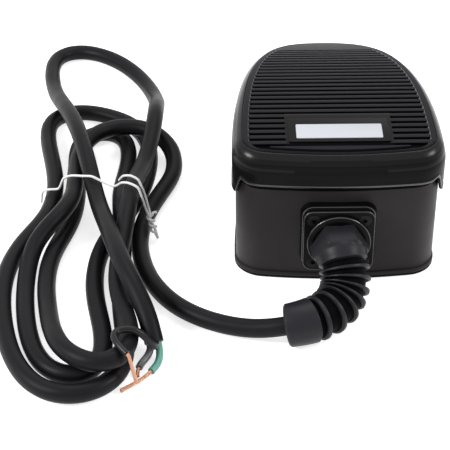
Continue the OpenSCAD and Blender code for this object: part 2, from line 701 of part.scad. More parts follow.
// ---------- lead ----------
// Route of the lead: out of the gland, down to the floor, round to the left, then the hank.
route = [
  [0, cord_y0, gland_z], [0.5, cord_y0 - 7, gland_z], [3.2, cord_y0 - 15, 18],
  [-0.4, cord_y0 - 24, 11], [-11, cord_y0 - 35, 11], [-24, cord_y0 - 39, 10.6],
  [-40, -119.5, 5],
  [-59, -114, 4.5], [-79, -101, 4.5], [-93, -78, 4.5], [-99, -50, 4.5], [-96, -25, 4.5],
  [-88, -2, 4.5], [-81, 16, 4.5], [-83, 35, 9], [-95, 46, 14], [-111, 50, 14.5], [-126, 43, 14.5],
  [-134, 25, 14.5], [-134, 0, 14], [-132, -22, 16.5], [-136, -42, 19], [-150, -54, 11],
  [-152.5, -74, 4], [-150, -102, 4.5], [-144.5, -128, 4.5], [-135, -146, 4.5], [-120, -151, 4.5],
  [-109.5, -140, 4.5], [-111, -118, 4.5], [-118, -92, 4.5], [-119, -64, 4.5], [-113, -40, 4.5],
  [-102, -16, 4.5], [-95.5, 12, 4.5], [-95.5, 44, 4.5], [-106, 67, 4.5], [-124, 79, 4.5],
  [-142, 83, 4.5], [-155, 74, 4.5], [-156, 56, 4.5], [-150, 30, 4.5], [-144, 0, 4.5],
  [-147, -28, 4.5], [-159, -50, 4.5], [-164, -80, 4.5], [-159, -114, 4.5], [-150, -142, 4.5],
  [-136, -160, 4.5], [-117, -163, 4.5], [-101, -150.5, 4.5], [-99.5, -128, 4.5], [-105, -98, 4.5],
  [-105, -70, 4.5], [-106, -50, 12], [-108.5, -24, 16], [-109.5, 0, 6.5], [-107.5, 24, 4.5],
  [-108, 45, 4.5], [-116, 58, 4.5], [-129.5, 58.5, 4.5], [-138, 45, 4.5], [-136, 20, 4.5],
  [-132, -8, 4.5], [-134, -34, 4.5], [-142, -58, 4.5], [-142, -84, 4.5], [-138, -106, 5.5],
  [-134, -126, 11], [-127, -144, 14.5], [-113, -154, 14.5], [-99.5, -149, 14.5], [-96.5, -131, 14],
  [-103, -110, 13.7], [-107, -88, 13.5], [-105, -64, 16], [-103, -42, 22], [-102, -20, 22],
  [-98, 4, 15], [-94, 27, 20], [-92.5, 47, 25], [-93, 67, 18], [-94, 88, 7], [-100, 113, 4],
  [-114, 137, 4.5], [-131, 153, 4.5], [-148, 158, 4.5], [-160, 149, 4.5], [-161, 130, 4.5],
  [-156, 104, 5], [-149, 78, 14], [-141, 52, 21.5], [-134, 28, 25.5], [-127, 2, 23],
  [-120, -28, 14], [-113, -56, 22], [-106, -84, 25.5], [-99, -103, 24.5], [-90.5, -119, 16.5],
  [-87, -130, 7]];

function at(p, t) =
  let (i = min(floor(t), len(p) - 2), u = t - i, a = i > 0 ? p[i - 1] : 2 * p[0] - p[1],
       d = i + 2 < len(p) ? p[i + 2] : 2 * p[len(p) - 1] - p[len(p) - 2])
  (pow(1 - u, 3) * a + (3 * u * u * u - 6 * u * u + 4) * p[i]
    + (-3 * u * u * u + 3 * u * u + 3 * u + 1) * p[i + 1] + u * u * u * d) / 6;

// Bend relief: places of its seven ribs along the route, then radii of the sleeve there.
ribs_t = [1.6, 1.96, 2.32, 2.68, 3.09, 3.57, 4.04];
mouth_t = [4.24, 5.1];
function relief_r(t) = relief_d / 2 - 0.05 * t - 0.078 * t * t;
relief_rings = concat(
  [[0, head_af / 2 + 1.1], [0.14, head_af / 2 + 1.86], [0.45, head_af / 2 + 1.86],
    [0.8, head_af / 2 + 1.86], [0.92, head_af / 2 + 0.2], [1.24, relief_r(0) - 0.6],
    [1.3, relief_r(0) - 1.2], [1.36, relief_r(1) - 2.2]],
  [for (f = ribs_t) each [[f - 0.12, relief_r(f) - 2.2], [f - 0.08, relief_r(f)],
    [f + 0.07, relief_r(f)], [f + 0.11, relief_r(f) - 2.2]]],
  [[mouth_t[0] - 0.03, relief_r(4) - 2], [mouth_t[0], relief_r(4)],
    [mouth_t[1] - 0.06, relief_r(5)], [mouth_t[1], relief_r(5) - 0.5]]);
function relief_at(t) = t < 0.15 ? [0, cord_y0 - 7 * t, gland_z] : at(route, t);
// Outer ring of the sleeve: hexagonal at the head, and never behind the nut's face.
function relief_ring(p, t, s, r, m, six, lim) =
  let (q = cross(t, s))
  [for (k = [0:m - 1])
    let (a = 360 * k / m, h = six ? cos(30) / cos(a % 60 - 30) : 1,
         v = p + r * h * (cos(a) * s + sin(a) * q))
    [v[0], min(v[1], lim), max(v[2], 0.25)]];
module bend_relief() {
  m = 18;
  n = len(relief_rings);
  c = [for (g = relief_rings) relief_at(g[0])];
  s = carry(c, 0, [1, 0, 0], []);
  outer = [for (i = [0:n - 1]) relief_ring(c[i], dir(c, i), s[i], relief_rings[i][1], m,
    relief_rings[i][0] < 0.85, cord_y0 - 0.11 * i)];
  bore = [for (i = [0:n - 1])
    ring(c[i], dir(c, i), s[i], i < 7 ? 5.6 : 5.6 + 2.2 * pow(relief_rings[i][0] / mouth_t[1], 2), m)];
  color("#18191a") ring_sleeve(outer, bore);
}
module cord_jacket() {
  c = concat([[0, cord_y0, gland_z], [0, cord_y0 - 1.4, gland_z]],
    [for (t = [0.4, 0.7]) at(route, t)], [for (i = [1:len(route) - 1]) knot(route, i)]);
  color("#2b2b2d") tube(c, [for (i = [0:len(c) - 1]) cord_r], 10, [1, 0, 0]);
}
module core(p) {
  n = 3 * (len(p) - 1);
  c = [for (i = [0:n]) at(p, i / 3)];
  tube(c, [for (i = [0:n]) core_d / 2], 8, [1, 0, 0]);
}
module core_green() {
  color("#3f9a7c") core([[-85.38, -128.76, 6.08], [-84.88, -130.12, 5.01], [-84.3, -134, 3],
    [-85, -139, 2], [-88, -144, 2]]);
}
module core_grey() {
  color("#b4b4b2") core([[-89.05, -130.1, 6.08], [-88.55, -131.46, 5.01], [-89.6, -134.6, 3.2],
    [-92.4, -138, 2.2], [-93.6, -141.5, 2]]);
}
module core_black() {
  color("#1d1d1f") core([[-86.53, -131.29, 8.78], [-86.03, -132.65, 7.71], [-86.4, -136.2, 9.5],
    [-89, -137.5, 15], [-93.5, -137, 20.2], [-99, -137, 21.6], [-104.5, -139, 21],
    [-103, -146, 21.2], [-97.5, -152, 19.4]]);
}
module core_strands() {
  color("#b06a3c") {
    tube([[-88.1, -144.2, 2], [-89.8, -147, 2.2], [-93, -150, 1.6], [-97, -153, 1.4],
      [-101, -156, 1.2]], [0.9, 0.9, 0.9, 0.8, 0.7], 8, [1, 0, 0]);
    tube([[-93.7, -141.7, 2], [-94.2, -144, 1.4], [-94, -146.4, 1.1]],
      [0.9, 0.8, 0.7], 8, [1, 0, 0]);
    tube([[-97.39, -152.12, 19.36], [-96.6, -152.9, 18.9], [-95.8, -153.6, 14], [-94.6, -154, 8],
      [-94, -153.8, 4]], [0.9, 0.9, 0.9, 0.8, 0.7], 8, [1, 0, 0]);
  }
}
module cord_tie() {
  c = [[-152.5, -7, 1], [-151, -7.5, 8.5], [-147, -9, 10.8], [-142, -10, 12], [-138.5, -11.5, 19.5],
    [-134, -13, 22], [-128, -15, 23], [-123, -18, 24.6], [-117, -20.5, 22.8], [-111, -24, 22.5],
    [-107, -27, 26.5], [-103, -30, 28.2], [-98, -33, 26.8], [-95, -35.5, 17], [-92.5, -37.5, 11],
    [-90.2, -39.5, 6], [-89, -40.2, 1]];
  color("#ecebe6") tube(c, [for (i = [0:len(c) - 1]) 0.7], 8, [0, 1, 0]);
}

base_housing();
bottom_plate();
non_slip_sheet();
bottom_screws();
pedal_cover();
tread_mat();
label_plate();
label_panel();
pedal_bracket();
bracket_studs();
hinge_pin();
pin_clips();
spring_left();
spring_right();
spring_posts();
adjusting_screw();
adjusting_nut();
switch_case();
switch_cover();
switch_button();
switch_lever();
lever_pivot();
lever_roller();
roller_pin();
switch_terminals();
terminal_screws();
switch_bracket();
switch_screws();
bracket_screws();
earth_screw();
stop_bumpers();
gland_gasket();
gland_plate();
gland_screws();
gland_body();
gland_locknut();
gland_seal();
gland_nut();
inner_lead();
inner_wires();
bend_relief();
cord_jacket();
core_green();
core_grey();
core_black();
core_strands();
cord_tie();
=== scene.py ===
# %% [markdown]
# # Industrial foot switch
# A foot switch starts a machine by foot: a spring-loaded pedal over a snap-action switch in
# a heavy cast base. The CAD part is the fixed frame of this notebook. Its nodes come in at
# their real place and size, and the cells below dress them: smooth skins for the cast base
# and the pedal cover, a ribbed tread, the gland with its bend relief and the tied hank of
# lead. The pieces inside keep their CAD meshes. X runs to the right, Y towards the heel and
# Z up from the floor. Lengths are written in millimetres and become metres in a mesh.

# %% Load the frame
import math
import random
import bpy
import bmesh
from mathutils import Matrix, Vector


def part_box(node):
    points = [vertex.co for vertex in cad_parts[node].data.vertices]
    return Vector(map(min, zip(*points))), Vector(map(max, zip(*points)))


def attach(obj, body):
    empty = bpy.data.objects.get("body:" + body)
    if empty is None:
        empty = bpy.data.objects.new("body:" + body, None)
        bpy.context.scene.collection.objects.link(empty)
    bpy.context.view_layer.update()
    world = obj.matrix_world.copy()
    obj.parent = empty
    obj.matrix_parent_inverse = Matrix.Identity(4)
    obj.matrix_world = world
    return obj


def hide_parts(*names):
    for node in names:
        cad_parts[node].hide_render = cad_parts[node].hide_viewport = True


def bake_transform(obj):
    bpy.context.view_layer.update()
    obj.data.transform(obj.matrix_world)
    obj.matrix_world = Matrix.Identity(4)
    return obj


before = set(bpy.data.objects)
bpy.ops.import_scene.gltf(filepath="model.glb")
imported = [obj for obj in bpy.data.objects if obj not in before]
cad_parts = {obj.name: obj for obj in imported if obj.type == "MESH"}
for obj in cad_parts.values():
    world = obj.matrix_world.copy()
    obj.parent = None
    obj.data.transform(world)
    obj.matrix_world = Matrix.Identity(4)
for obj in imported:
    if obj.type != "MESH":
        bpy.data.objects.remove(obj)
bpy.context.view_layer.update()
MM = 0.001
scene = bpy.context.scene

# %% [markdown]
# ## Camera
# The view is fixed first, so that every later piece can be judged in it. A camera could be
# aimed with Euler angles or a Track To constraint. Here its axes are worked out from pitch,
# yaw and roll and put into one matrix, because each angle then has one plain meaning. A
# long lens from far away keeps the perspective mild, as in a catalogue picture.

# %% Camera
PITCH, YAW, ROLL = 35.32, -0.245, -0.687
CAMERA_AT = (-52.0, -600.9, 406.1)
LENS, SENSOR_W = 107.73, 36

def camera_turn(pitch, yaw, roll):
    """Rotation of a camera that looks along +Y and down by the pitch."""
    right = Vector((math.cos(yaw), -math.sin(yaw), 0))
    ahead = Vector((math.sin(yaw) * math.cos(pitch), math.cos(yaw) * math.cos(pitch), -math.sin(pitch)))
    down = ahead.cross(right)
    x_axis = right * math.cos(roll) - down * math.sin(roll)
    y_axis = -(right * math.sin(roll) + down * math.cos(roll))
    return Matrix((x_axis, y_axis, -ahead)).transposed().to_4x4()

camera = bpy.data.objects.new("camera", bpy.data.cameras.new("camera"))
scene.collection.objects.link(camera)
turn = camera_turn(math.radians(PITCH), math.radians(YAW), math.radians(ROLL))
camera.matrix_world = Matrix.Translation(Vector(CAMERA_AT) * MM) @ turn
camera.data.lens = LENS
camera.data.sensor_width = SENSOR_W
camera.data.clip_start, camera.data.clip_end = 0.01, 20
scene.camera = camera
scene.view_settings.view_transform = "Standard"
print("camera at", [round(v, 4) for v in camera.location], "lens", LENS)

# %% [markdown]
# ## How a finish is made
# Every surface is one Principled shader with its colour, roughness, metal and specular
# level set as plain numbers. Real paint and rubber are never perfectly smooth. A picture
# texture could show that, but it needs a UV map and a file. A Noise texture on Object
# coordinates needs neither and stays fixed to its piece when the pedal moves, so the fine
# grain is such a noise turned into a small bump. On wide painted areas a second, broader
# noise lets the roughness drift, and the highlights stop looking like plastic.

# %% Fine grain
GRAIN_DETAIL = 4

def noise_on(mat, scale, detail):
    """Noise that is fixed to the piece by its object coordinates."""
    nt = mat.node_tree
    coord, noise = nt.nodes.new("ShaderNodeTexCoord"), nt.nodes.new("ShaderNodeTexNoise")
    noise.inputs["Scale"].default_value = scale
    noise.inputs["Detail"].default_value = detail
    nt.links.new(coord.outputs["Object"], noise.inputs["Vector"])
    return noise.outputs["Fac"]

def grain(mat, scale, strength, distance):
    """Fine bumps all over a finish."""
    nt = mat.node_tree
    bump = nt.nodes.new("ShaderNodeBump")
    bump.inputs["Strength"].default_value = strength
    bump.inputs["Distance"].default_value = distance
    nt.links.new(noise_on(mat, scale, GRAIN_DETAIL), bump.inputs["Height"])
    nt.links.new(bump.outputs["Normal"], nt.nodes["Principled BSDF"].inputs["Normal"])

# %% Drifting gloss
DRIFT_DETAIL, DRIFT_WIDER, NOISE_RANGE = 3, 14, (0.3, 0.7)

def drift(mat, scale, rough_range):
    """Lets the roughness wander between two values, over wider patches than the grain."""
    nt = mat.node_tree
    span = nt.nodes.new("ShaderNodeMapRange")
    for title, value in zip(("From Min", "From Max", "To Min", "To Max"), (*NOISE_RANGE, *rough_range)):
        span.inputs[title].default_value = value
    nt.links.new(noise_on(mat, scale / DRIFT_WIDER, DRIFT_DETAIL), span.inputs["Value"])
    nt.links.new(span.outputs["Result"], nt.nodes["Principled BSDF"].inputs["Roughness"])

# %% One finish
M = {}  # every finish, under a short key

def coat(key, name, color, rough, scale=900, strength=0.1, distance=0.0002, metallic=0.0,
         specular=0.5, rough_range=None):
    """Makes a finish and keeps it in M; scale is the grain's, in cells per metre."""
    mat = bpy.data.materials.new(name)
    mat.use_nodes = True
    sockets = mat.node_tree.nodes["Principled BSDF"].inputs
    for title, value in (("Base Color", (*color, 1)), ("Roughness", rough), ("Metallic", metallic),
                         ("Specular IOR Level", specular)):
        sockets[title].default_value = value
    grain(mat, scale, strength, distance)
    if rough_range:
        drift(mat, scale, rough_range)
    M[key] = mat
    print("finish", name, "colour", color, "roughness", rough)

# %% [markdown]
# ## From rings to a mesh
# Nearly every skin here is a stack of rings: closed outlines with the same number of
# points, joined from one to the next by four-sided faces. A Bevel modifier could round the
# edges of a plain block, but the cover's edge follows a crown that falls towards the heel,
# so the rounding is written into the rings. `Build` gathers points and faces in
# millimetres. `skin` scales them to metres, merges doubles, turns the faces outwards and
# keeps hard edges sharp.

# %% Rings and caps
class Build:
    """Gathers the points and faces of one piece, in millimetres."""
    def __init__(self):
        self.v, self.f, self.marked = [], [], set()

    def rings(self, rings, closed=False, cap_first=False, cap_last=False):
        """Joins each ring to the next; a closed stack joins the last to the first."""
        n, m, base = len(rings[0]), len(rings), len(self.v)
        for ring in rings:
            self.v.extend(Vector(p) for p in ring)
        for i in range(m if closed else m - 1):
            a, b = base + i * n, base + ((i + 1) % m) * n
            for k in range(n):
                q = (k + 1) % n
                self.f.append((a + k, a + q, b + q, b + k))
        if cap_first:
            self.f.append(tuple(base + k for k in range(n - 1, -1, -1)))
        if cap_last:
            self.f.append(tuple(base + (m - 1) * n + k for k in range(n)))
        return base

    def strips(self, ring, flip=False):
        """Fills a ring that is the same left and right with strips across it."""
        n, base = len(ring), len(self.v)
        self.v.extend(Vector(p) for p in ring)
        half = n // 2
        for j in range(half):
            if j == 0:
                f = [base, base + 1, base + n - 1]
            elif j == half - 1:
                f = [base + j, base + half, base + n - j]
            else:
                f = [base + j, base + j + 1, base + n - j - 1, base + n - j]
            self.f.append(tuple(reversed(f)) if flip else tuple(f))

# %% From points and faces to an object
MERGE = 1e-7

def shade(me, sharp):
    """Smooth shading that stops at edges sharper than this angle in degrees."""
    me.polygons.foreach_set("use_smooth", [True] * len(me.polygons))
    me.set_sharp_from_angle(angle=math.radians(sharp))

def skin(build, name, key, sharp=35):
    """Makes the object with the finish `key`; marked faces take its second material."""
    me = bpy.data.meshes.new(name)
    me.from_pydata([v * MM for v in build.v], [], build.f)
    for face in build.marked:
        me.polygons[face].material_index = 1
    bm = bmesh.new()
    bm.from_mesh(me)
    bmesh.ops.remove_doubles(bm, verts=bm.verts, dist=MERGE)
    bmesh.ops.recalc_face_normals(bm, faces=bm.faces)
    bm.to_mesh(me)
    bm.free()
    shade(me, sharp)
    me.materials.append(M[key])
    ob = bpy.data.objects.new(name, me)
    scene.collection.objects.link(ob)
    return ob

# %% Dress a piece
def dress(ob, body, replaces=()):
    """Puts a piece on its body and hides the CAD nodes it stands for."""
    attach(ob, body)
    if replaces:
        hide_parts(*replaces)
    print(ob.name, "faces", len(ob.data.polygons) if ob.type == "MESH" else "curve")
    return ob

def finish_faces(ob, key, chosen):
    """Gives the faces that `chosen` picks, by middle and normal, a second finish."""
    ob.data.materials.append(M[key])
    slot, count = len(ob.data.materials) - 1, 0
    for face in ob.data.polygons:
        if chosen(face.center / MM, face.normal):
            face.material_index = slot
            count += 1
    print(ob.name, M[key].name, "faces", count)

# %% [markdown]
# ## Lead
# The lead is a round cable of one fixed length. It leaves the gland, drops to the floor and
# lies in a tied hank on the left. A simulation could lay it, but its turns would fall
# differently each time a setting changes. So the route is a list of given points, the same
# as in the CAD tube, with the crossings lifted over each other. The points steer a uniform
# cubic spline, which rounds every bend, and a curve object with a bevel depth turns the
# line into a cord.

# %% Route of the lead
GLAND_Z, CORD_Y0, CORD_D, EXIT_STEP = 27.2, -84.0, 9.0, 7
route = [Vector(p) for p in [
    (0, CORD_Y0, GLAND_Z), (0.5, CORD_Y0 - EXIT_STEP, GLAND_Z), (3.2, CORD_Y0 - 15, 18),
    (-0.4, CORD_Y0 - 24, 11), (-11, CORD_Y0 - 35, 11), (-24, CORD_Y0 - 39, 10.6), (-40, -119.5, 5),
    (-59, -114, 4.5), (-79, -101, 4.5), (-93, -78, 4.5), (-99, -50, 4.5), (-96, -25, 4.5),
    (-88, -2, 4.5), (-81, 16, 4.5), (-83, 35, 9), (-95, 46, 14), (-111, 50, 14.5), (-126, 43, 14.5),
    (-134, 25, 14.5), (-134, 0, 14), (-132, -22, 16.5), (-136, -42, 19), (-150, -54, 11),
    (-152.5, -74, 4), (-150, -102, 4.5), (-144.5, -128, 4.5), (-135, -146, 4.5), (-120, -151, 4.5),
    (-109.5, -140, 4.5), (-111, -118, 4.5), (-118, -92, 4.5), (-119, -64, 4.5), (-113, -40, 4.5),
    (-102, -16, 4.5), (-95.5, 12, 4.5), (-95.5, 44, 4.5), (-106, 67, 4.5), (-124, 79, 4.5),
    (-142, 83, 4.5), (-155, 74, 4.5), (-156, 56, 4.5), (-150, 30, 4.5), (-144, 0, 4.5),
    (-147, -28, 4.5), (-159, -50, 4.5), (-164, -80, 4.5), (-159, -114, 4.5), (-150, -142, 4.5),
    (-136, -160, 4.5), (-117, -163, 4.5), (-101, -150.5, 4.5), (-99.5, -128, 4.5), (-105, -98, 4.5),
    (-105, -70, 4.5), (-106, -50, 12), (-108.5, -24, 16), (-109.5, 0, 6.5), (-107.5, 24, 4.5),
    (-108, 45, 4.5), (-116, 58, 4.5), (-129.5, 58.5, 4.5), (-138, 45, 4.5), (-136, 20, 4.5),
    (-132, -8, 4.5), (-134, -34, 4.5), (-142, -58, 4.5), (-142, -84, 4.5), (-138, -106, 5.5),
    (-134, -126, 11), (-127, -144, 14.5), (-113, -154, 14.5), (-99.5, -149, 14.5), (-96.5, -131, 14),
    (-103, -110, 13.7), (-107, -88, 13.5), (-105, -64, 16), (-103, -42, 22), (-102, -20, 22),
    (-98, 4, 15), (-94, 27, 20), (-92.5, 47, 25), (-93, 67, 18), (-94, 88, 7), (-100, 113, 4),
    (-114, 137, 4.5), (-131, 153, 4.5), (-148, 158, 4.5), (-160, 149, 4.5), (-161, 130, 4.5),
    (-156, 104, 5), (-149, 78, 14), (-141, 52, 21.5), (-134, 28, 25.5), (-127, 2, 23),
    (-120, -28, 14), (-113, -56, 22), (-106, -84, 25.5), (-99, -103, 24.5), (-90.5, -119, 16.5),
    (-87, -130, 7)]]
print("route points", len(route))

# %% A smooth line through the route
def spline(p, i, u):
    """Uniform cubic spline between control points i and i + 1."""
    a = p[i - 1] if i > 0 else 2 * p[0] - p[1]
    d = p[i + 2] if i + 2 < len(p) else 2 * p[-1] - p[-2]
    return ((1 - u) ** 3 * a + (3 * u ** 3 - 6 * u * u + 4) * p[i]
            + (-3 * u ** 3 + 3 * u * u + 3 * u + 1) * p[i + 1] + u ** 3 * d) / 6

def along(p, t):
    """The spline's point at t, where t counts control points from the start."""
    i = min(int(math.floor(t)), len(p) - 2)
    return spline(p, i, t - i)

def smooth_line(points, steps):
    """The whole spline, with this many steps between two control points."""
    p = [Vector(q) for q in points]
    return [along(p, i / steps) for i in range((len(p) - 1) * steps + 1)]

# %% A round cord from a line
def add_strand(curve, points):
    """Adds one line of points in millimetres to a curve."""
    strand = curve.splines.new("POLY")
    strand.points.add(len(points) - 1)
    for q, p in zip(strand.points, points):
        q.co = (*(Vector(p) * MM), 1)
    return strand

def round_cord(name, points, radius, key, resolution=6):
    """A curve object with a round section; a finer resolution gives it more sides."""
    curve = bpy.data.curves.new(name, "CURVE")
    curve.dimensions = "3D"
    add_strand(curve, points).use_smooth = True
    curve.bevel_depth = radius * MM
    curve.bevel_resolution = resolution
    curve.use_fill_caps = True
    curve.materials.append(M[key])
    ob = bpy.data.objects.new(name, curve)
    scene.collection.objects.link(ob)
    return ob

# %% Lead
LEAD_STEPS = 8
coat("cord", "lead_jacket", (0.0068, 0.006, 0.0074), 0.44, 700, 0.14, 0.00018, specular=0.13,
     rough_range=(0.38, 0.52))
line = smooth_line(route, LEAD_STEPS)
lead = dress(round_cord("lead", line, CORD_D / 2, "cord"), "base", ["cord_jacket"])

# %% [markdown]
# ## Plan and crown
# The pedal cover and the cast base share one plan: a bowed front edge, two round corners
# and a long rounded heel. It could be traced point by point, but a maker draws it with a
# few sizes. The bow is a parabola, the corners are arcs and the heel is a superellipse,
# which is fuller than an ellipse. Seen from the side the cover's top is a crown: almost a
# circle, falling a little faster towards the heel. As functions of x and y, plan and crown
# serve every piece that lies on the pedal.

# %% Half a plan
BASE_W, BASE_L, BASE_R, BOW = 98.0, 148.0, 14.5, 4.6
SKIRT_T, SKIRT_GAP, END_GAP = 1.5, 0.5, 3.0
LID_HW = BASE_W / 2 + SKIRT_GAP + SKIRT_T
LID_HL = BASE_L / 2 + END_GAP + SKIRT_T
LID_R, LID_BOW = BASE_R + 2, BOW * 0.95
HEEL_POWER = 2.12
FRONT_STEPS, CORNER_STEPS, HEEL_STEPS = 10, 16, 60

def half_plan(hw, y0, y1, r, bow):
    """Right half of a plan from front middle to heel: bow, corner arc and superellipse."""
    a0 = math.atan(2 * bow * (hw - r) / (hw * hw))
    xt = hw - r + r * math.sin(a0)
    yc = y0 + bow * (xt / hw) ** 2 + r * math.cos(a0)
    front = [xt * i / FRONT_STEPS for i in range(FRONT_STEPS)]
    pts = [(x, y0 + bow * (x / hw) ** 2) for x in front]
    for i in range(CORNER_STEPS + 1):
        a = -math.pi / 2 + a0 + (math.pi / 2 - a0) * i / CORNER_STEPS
        pts.append((hw - r + r * math.cos(a), yc + r * math.sin(a)))
    for i in range(1, HEEL_STEPS + 1):
        a = math.pi / 2 * i / HEEL_STEPS
        x = 0.0 if i == HEEL_STEPS else hw * math.cos(a) ** (2 / HEEL_POWER)
        pts.append((x, yc + (y1 - yc) * math.sin(a) ** (2 / HEEL_POWER)))
    return pts

# %% Outlines of base and cover
def full(half):
    """Adds the mirrored left half."""
    return half + [(-x, y) for x, y in half[-2:0:-1]]

def base_plan(d):
    """The casting's outline, drawn in by d."""
    return full(half_plan(BASE_W / 2 - d, -BASE_L / 2 + d, BASE_L / 2 - d, BASE_R - d, BOW))

def lid_plan(d):
    """The cover's outline, drawn in by d."""
    return full(half_plan(LID_HW - d, -LID_HL + d, LID_HL - d, LID_R - d, LID_BOW))

print("cover plan", round(2 * LID_HW, 2), "x", round(2 * LID_HL, 2), "points", len(lid_plan(0)))

# %% Crown of the cover
TOP, CROWN_Y, CROWN_R, CROWN_FALL = 74.4, -35, 320.0, 0.0000027
RECESS, TOP_T = 1.6, 2.2

def crown(y):
    """Height of the cover's top at y; highest at CROWN_Y."""
    u = y - CROWN_Y
    return TOP - u * u / (2 * CROWN_R) - CROWN_FALL * u ** 3

def tilt(y):
    """Slope of the crown at y, as a turn about X."""
    u = y - CROWN_Y
    return -math.atan(u / CROWN_R + 3 * CROWN_FALL * u * u)

def under(y):
    """Underside of the cover's sheet."""
    return crown(y) - RECESS - TOP_T

print("crown at front, top and heel", [round(crown(y), 2) for y in (-LID_HL, CROWN_Y, LID_HL)])

# %% Hem of the skirt
FRONT_HEM, EAR_HEM, HEEL_HEM = 55.8, 46.5, 26.0
EAR_Y, FALL_Y, HEM_FALL = -30, -20, 0.34
ARCH_ANGLES, EAR_ANGLES, EAR_BEND = (-60, -44), (-41, -22), 0.8

def smooth(a, b, x):
    """Runs from 0 at a to 1 at b with soft ends."""
    t = max(0.0, min(1.0, (x - a) / (b - a)))
    return t * t * (3 - 2 * t)

def hem(x, y):
    """Lower edge of the skirt: front edge, a small arch at each corner, then the ears."""
    if y > EAR_Y:
        return max(HEEL_HEM, EAR_HEM - max(0.0, y - FALL_Y) * HEM_FALL)
    cx, cy = LID_HW - LID_R, -LID_HL + LID_BOW * 0.5 + LID_R
    angle = math.degrees(math.atan2(y - cy, abs(x) - cx))
    rise = FRONT_HEM + smooth(*ARCH_ANGLES, angle)
    return rise - (rise - EAR_HEM) * smooth(*EAR_ANGLES, angle) ** EAR_BEND

print("hem at front, side and heel", [round(hem(*p), 2) for p in ((0, -LID_HL), (LID_HW, 0), (0, LID_HL))])

# %% [markdown]
# ## Pedal cover
# The cover is pressed from one steel sheet: a rolled hem, a skirt that stands out a little,
# a broad rounded top edge and a shallow recess for the tread. A Solidify modifier on a
# single surface would give the wall, but the underside of a deep pressing isn't parallel
# to its top everywhere. So the outside and the inside are two runs of rings, joined at the
# hem. Each ring is the plan drawn in by some depth and lifted to the hem or the crown.

# %% Rings of the cover
EDGE_R, EDGE_SWEEP, EDGE_STEPS, RIM_IN = 6.8, 64, 14, 1.0
HEM_ROLL = ((0.75, 0), (0.4, 0.05), (0.12, 0.2), (0.0, 0.5), (0.0, 1.3), (0.16, 1.9), (0.2, 2.6))
FLANK_IN, FLANK_FOOT, FLANK_DROP = 0.2, 2.6, 3.6
SHOULDER = ((0.22, FLANK_DROP), (0.34, 2.4), (0.62, 1.2))

def cover_ring(d, level):
    """The cover's plan drawn in by d, each point at the height of its own place."""
    return [(x, y, level(x, y)) for x, y in lid_plan(d)]

def skirt_ring(d, level):
    """As cover_ring, but the height is read on the outer plan, so that the hem stays level."""
    return [(q[0], q[1], level(*p)) for p, q in zip(lid_plan(0), lid_plan(d))]

def over_hem(up):
    """Heights that follow the hem."""
    return lambda x, y: hem(x, y) + up

def under_crown(depth):
    """Heights that follow the crown."""
    return lambda x, y: crown(y) - depth

def on_flank(f):
    """A share f of the way up from the hem to the shoulder."""
    return lambda x, y: (hem(x, y) + FLANK_FOOT) * (1 - f) + (crown(y) - EDGE_R - FLANK_DROP) * f

# %% Outside of the cover
outside = [skirt_ring(d, over_hem(up)) for d, up in HEM_ROLL]
outside += [skirt_ring(FLANK_IN, on_flank(f)) for f in (0.25, 0.5, 0.75)]
outside += [cover_ring(d, under_crown(EDGE_R + drop)) for d, drop in SHOULDER]
for i in range(EDGE_STEPS + 1):
    a = math.radians(EDGE_SWEEP * i / EDGE_STEPS)
    edge_in = RIM_IN + EDGE_R * (1 - math.cos(a))
    outside.append(cover_ring(edge_in, under_crown(EDGE_R * (1 - math.sin(a)))))
RECESS_EDGE = ((0.18, 0.69), (0.26, 0.8), (0.28, RECESS))
outside += [cover_ring(edge_in + d, under_crown(depth)) for d, depth in RECESS_EDGE]
print("cover outside rings", len(outside), "recess starts at", round(edge_in, 2), "from the plan")

# %% Inside of the cover and the whole shell
INSIDE_R, INSIDE_DROP = 4, 9

def inside_bend(s):
    """Heights on the inner rounding, with s from 0 at its foot to 1 under the top."""
    return lambda x, y: under(y) - INSIDE_R * (1 - s)

inside = [skirt_ring(SKIRT_T, over_hem(0.3)), cover_ring(SKIRT_T + 0.1, under_crown(INSIDE_DROP))]
for a in (0, 30, 60, 90):
    c, s = math.cos(math.radians(a)), math.sin(math.radians(a))
    inside.append(cover_ring(SKIRT_T + RIM_IN + INSIDE_R * (1 - c), inside_bend(s)))
cover = Build()
cover.rings(list(reversed(inside)) + outside)
cover.strips(outside[-1])
cover.strips(inside[-1], flip=True)
print("cover rings", len(inside) + len(outside), "points", len(cover.v))

# %% [markdown]
# ## Paint on the cover
# The cover has one black paint, but it isn't finished the same all over. The skirt keeps the
# plain paint. The up-facing faces of the pressed bend and the rim get slightly lighter, more
# specular copies of it, a painted sheen that brightens their highlights, and the hem's lip gets a
# lighter, glossier copy, a painted highlight line. A texture mask could blend them, but they meet
# at real bends, so the faces are picked by height and direction and get a finish of their own.

# %% Finishes of the cover
coat("cover", "cover_paint", (0.004, 0.0037, 0.0038), 0.3, 1300, 0.08, 0.00012, specular=0.07,
     rough_range=(0.26, 0.34))
# Painted sheen: lighter, more specular copies of the cover paint for the bend and the rim.
coat("bend", "cover_bend", (0.0042, 0.004, 0.0045), 0.29, 1300, 0.08, 0.00012, specular=0.14)
coat("rim", "cover_rim", (0.0044, 0.0042, 0.005), 0.25, 1300, 0.06, 0.0001, specular=0.23)
# Painted highlight: a lighter, glossier paint for the hem and the edges of the boss, gland plate and nut.
coat("edge", "burnished_edge", (0.012, 0.0118, 0.0125), 0.22, 1300, 0.04, 0.0001, specular=0.75)
BEND_Z, LIP_H = 50, 1.25
cover_skin = skin(cover, "cover_skin", "cover", sharp=50)
dress(cover_skin, "pedal", ["pedal_cover"])
finish_faces(cover_skin, "bend", lambda c, n: n.z > 0.3 and c.z > BEND_Z)
finish_faces(cover_skin, "rim", lambda c, n: n.z > 0.6 and c.z > BEND_Z)
finish_faces(cover_skin, "edge",
             lambda c, n: c.z < hem(c.x, c.y) + LIP_H and n.x * c.x + n.y * c.y > 0)
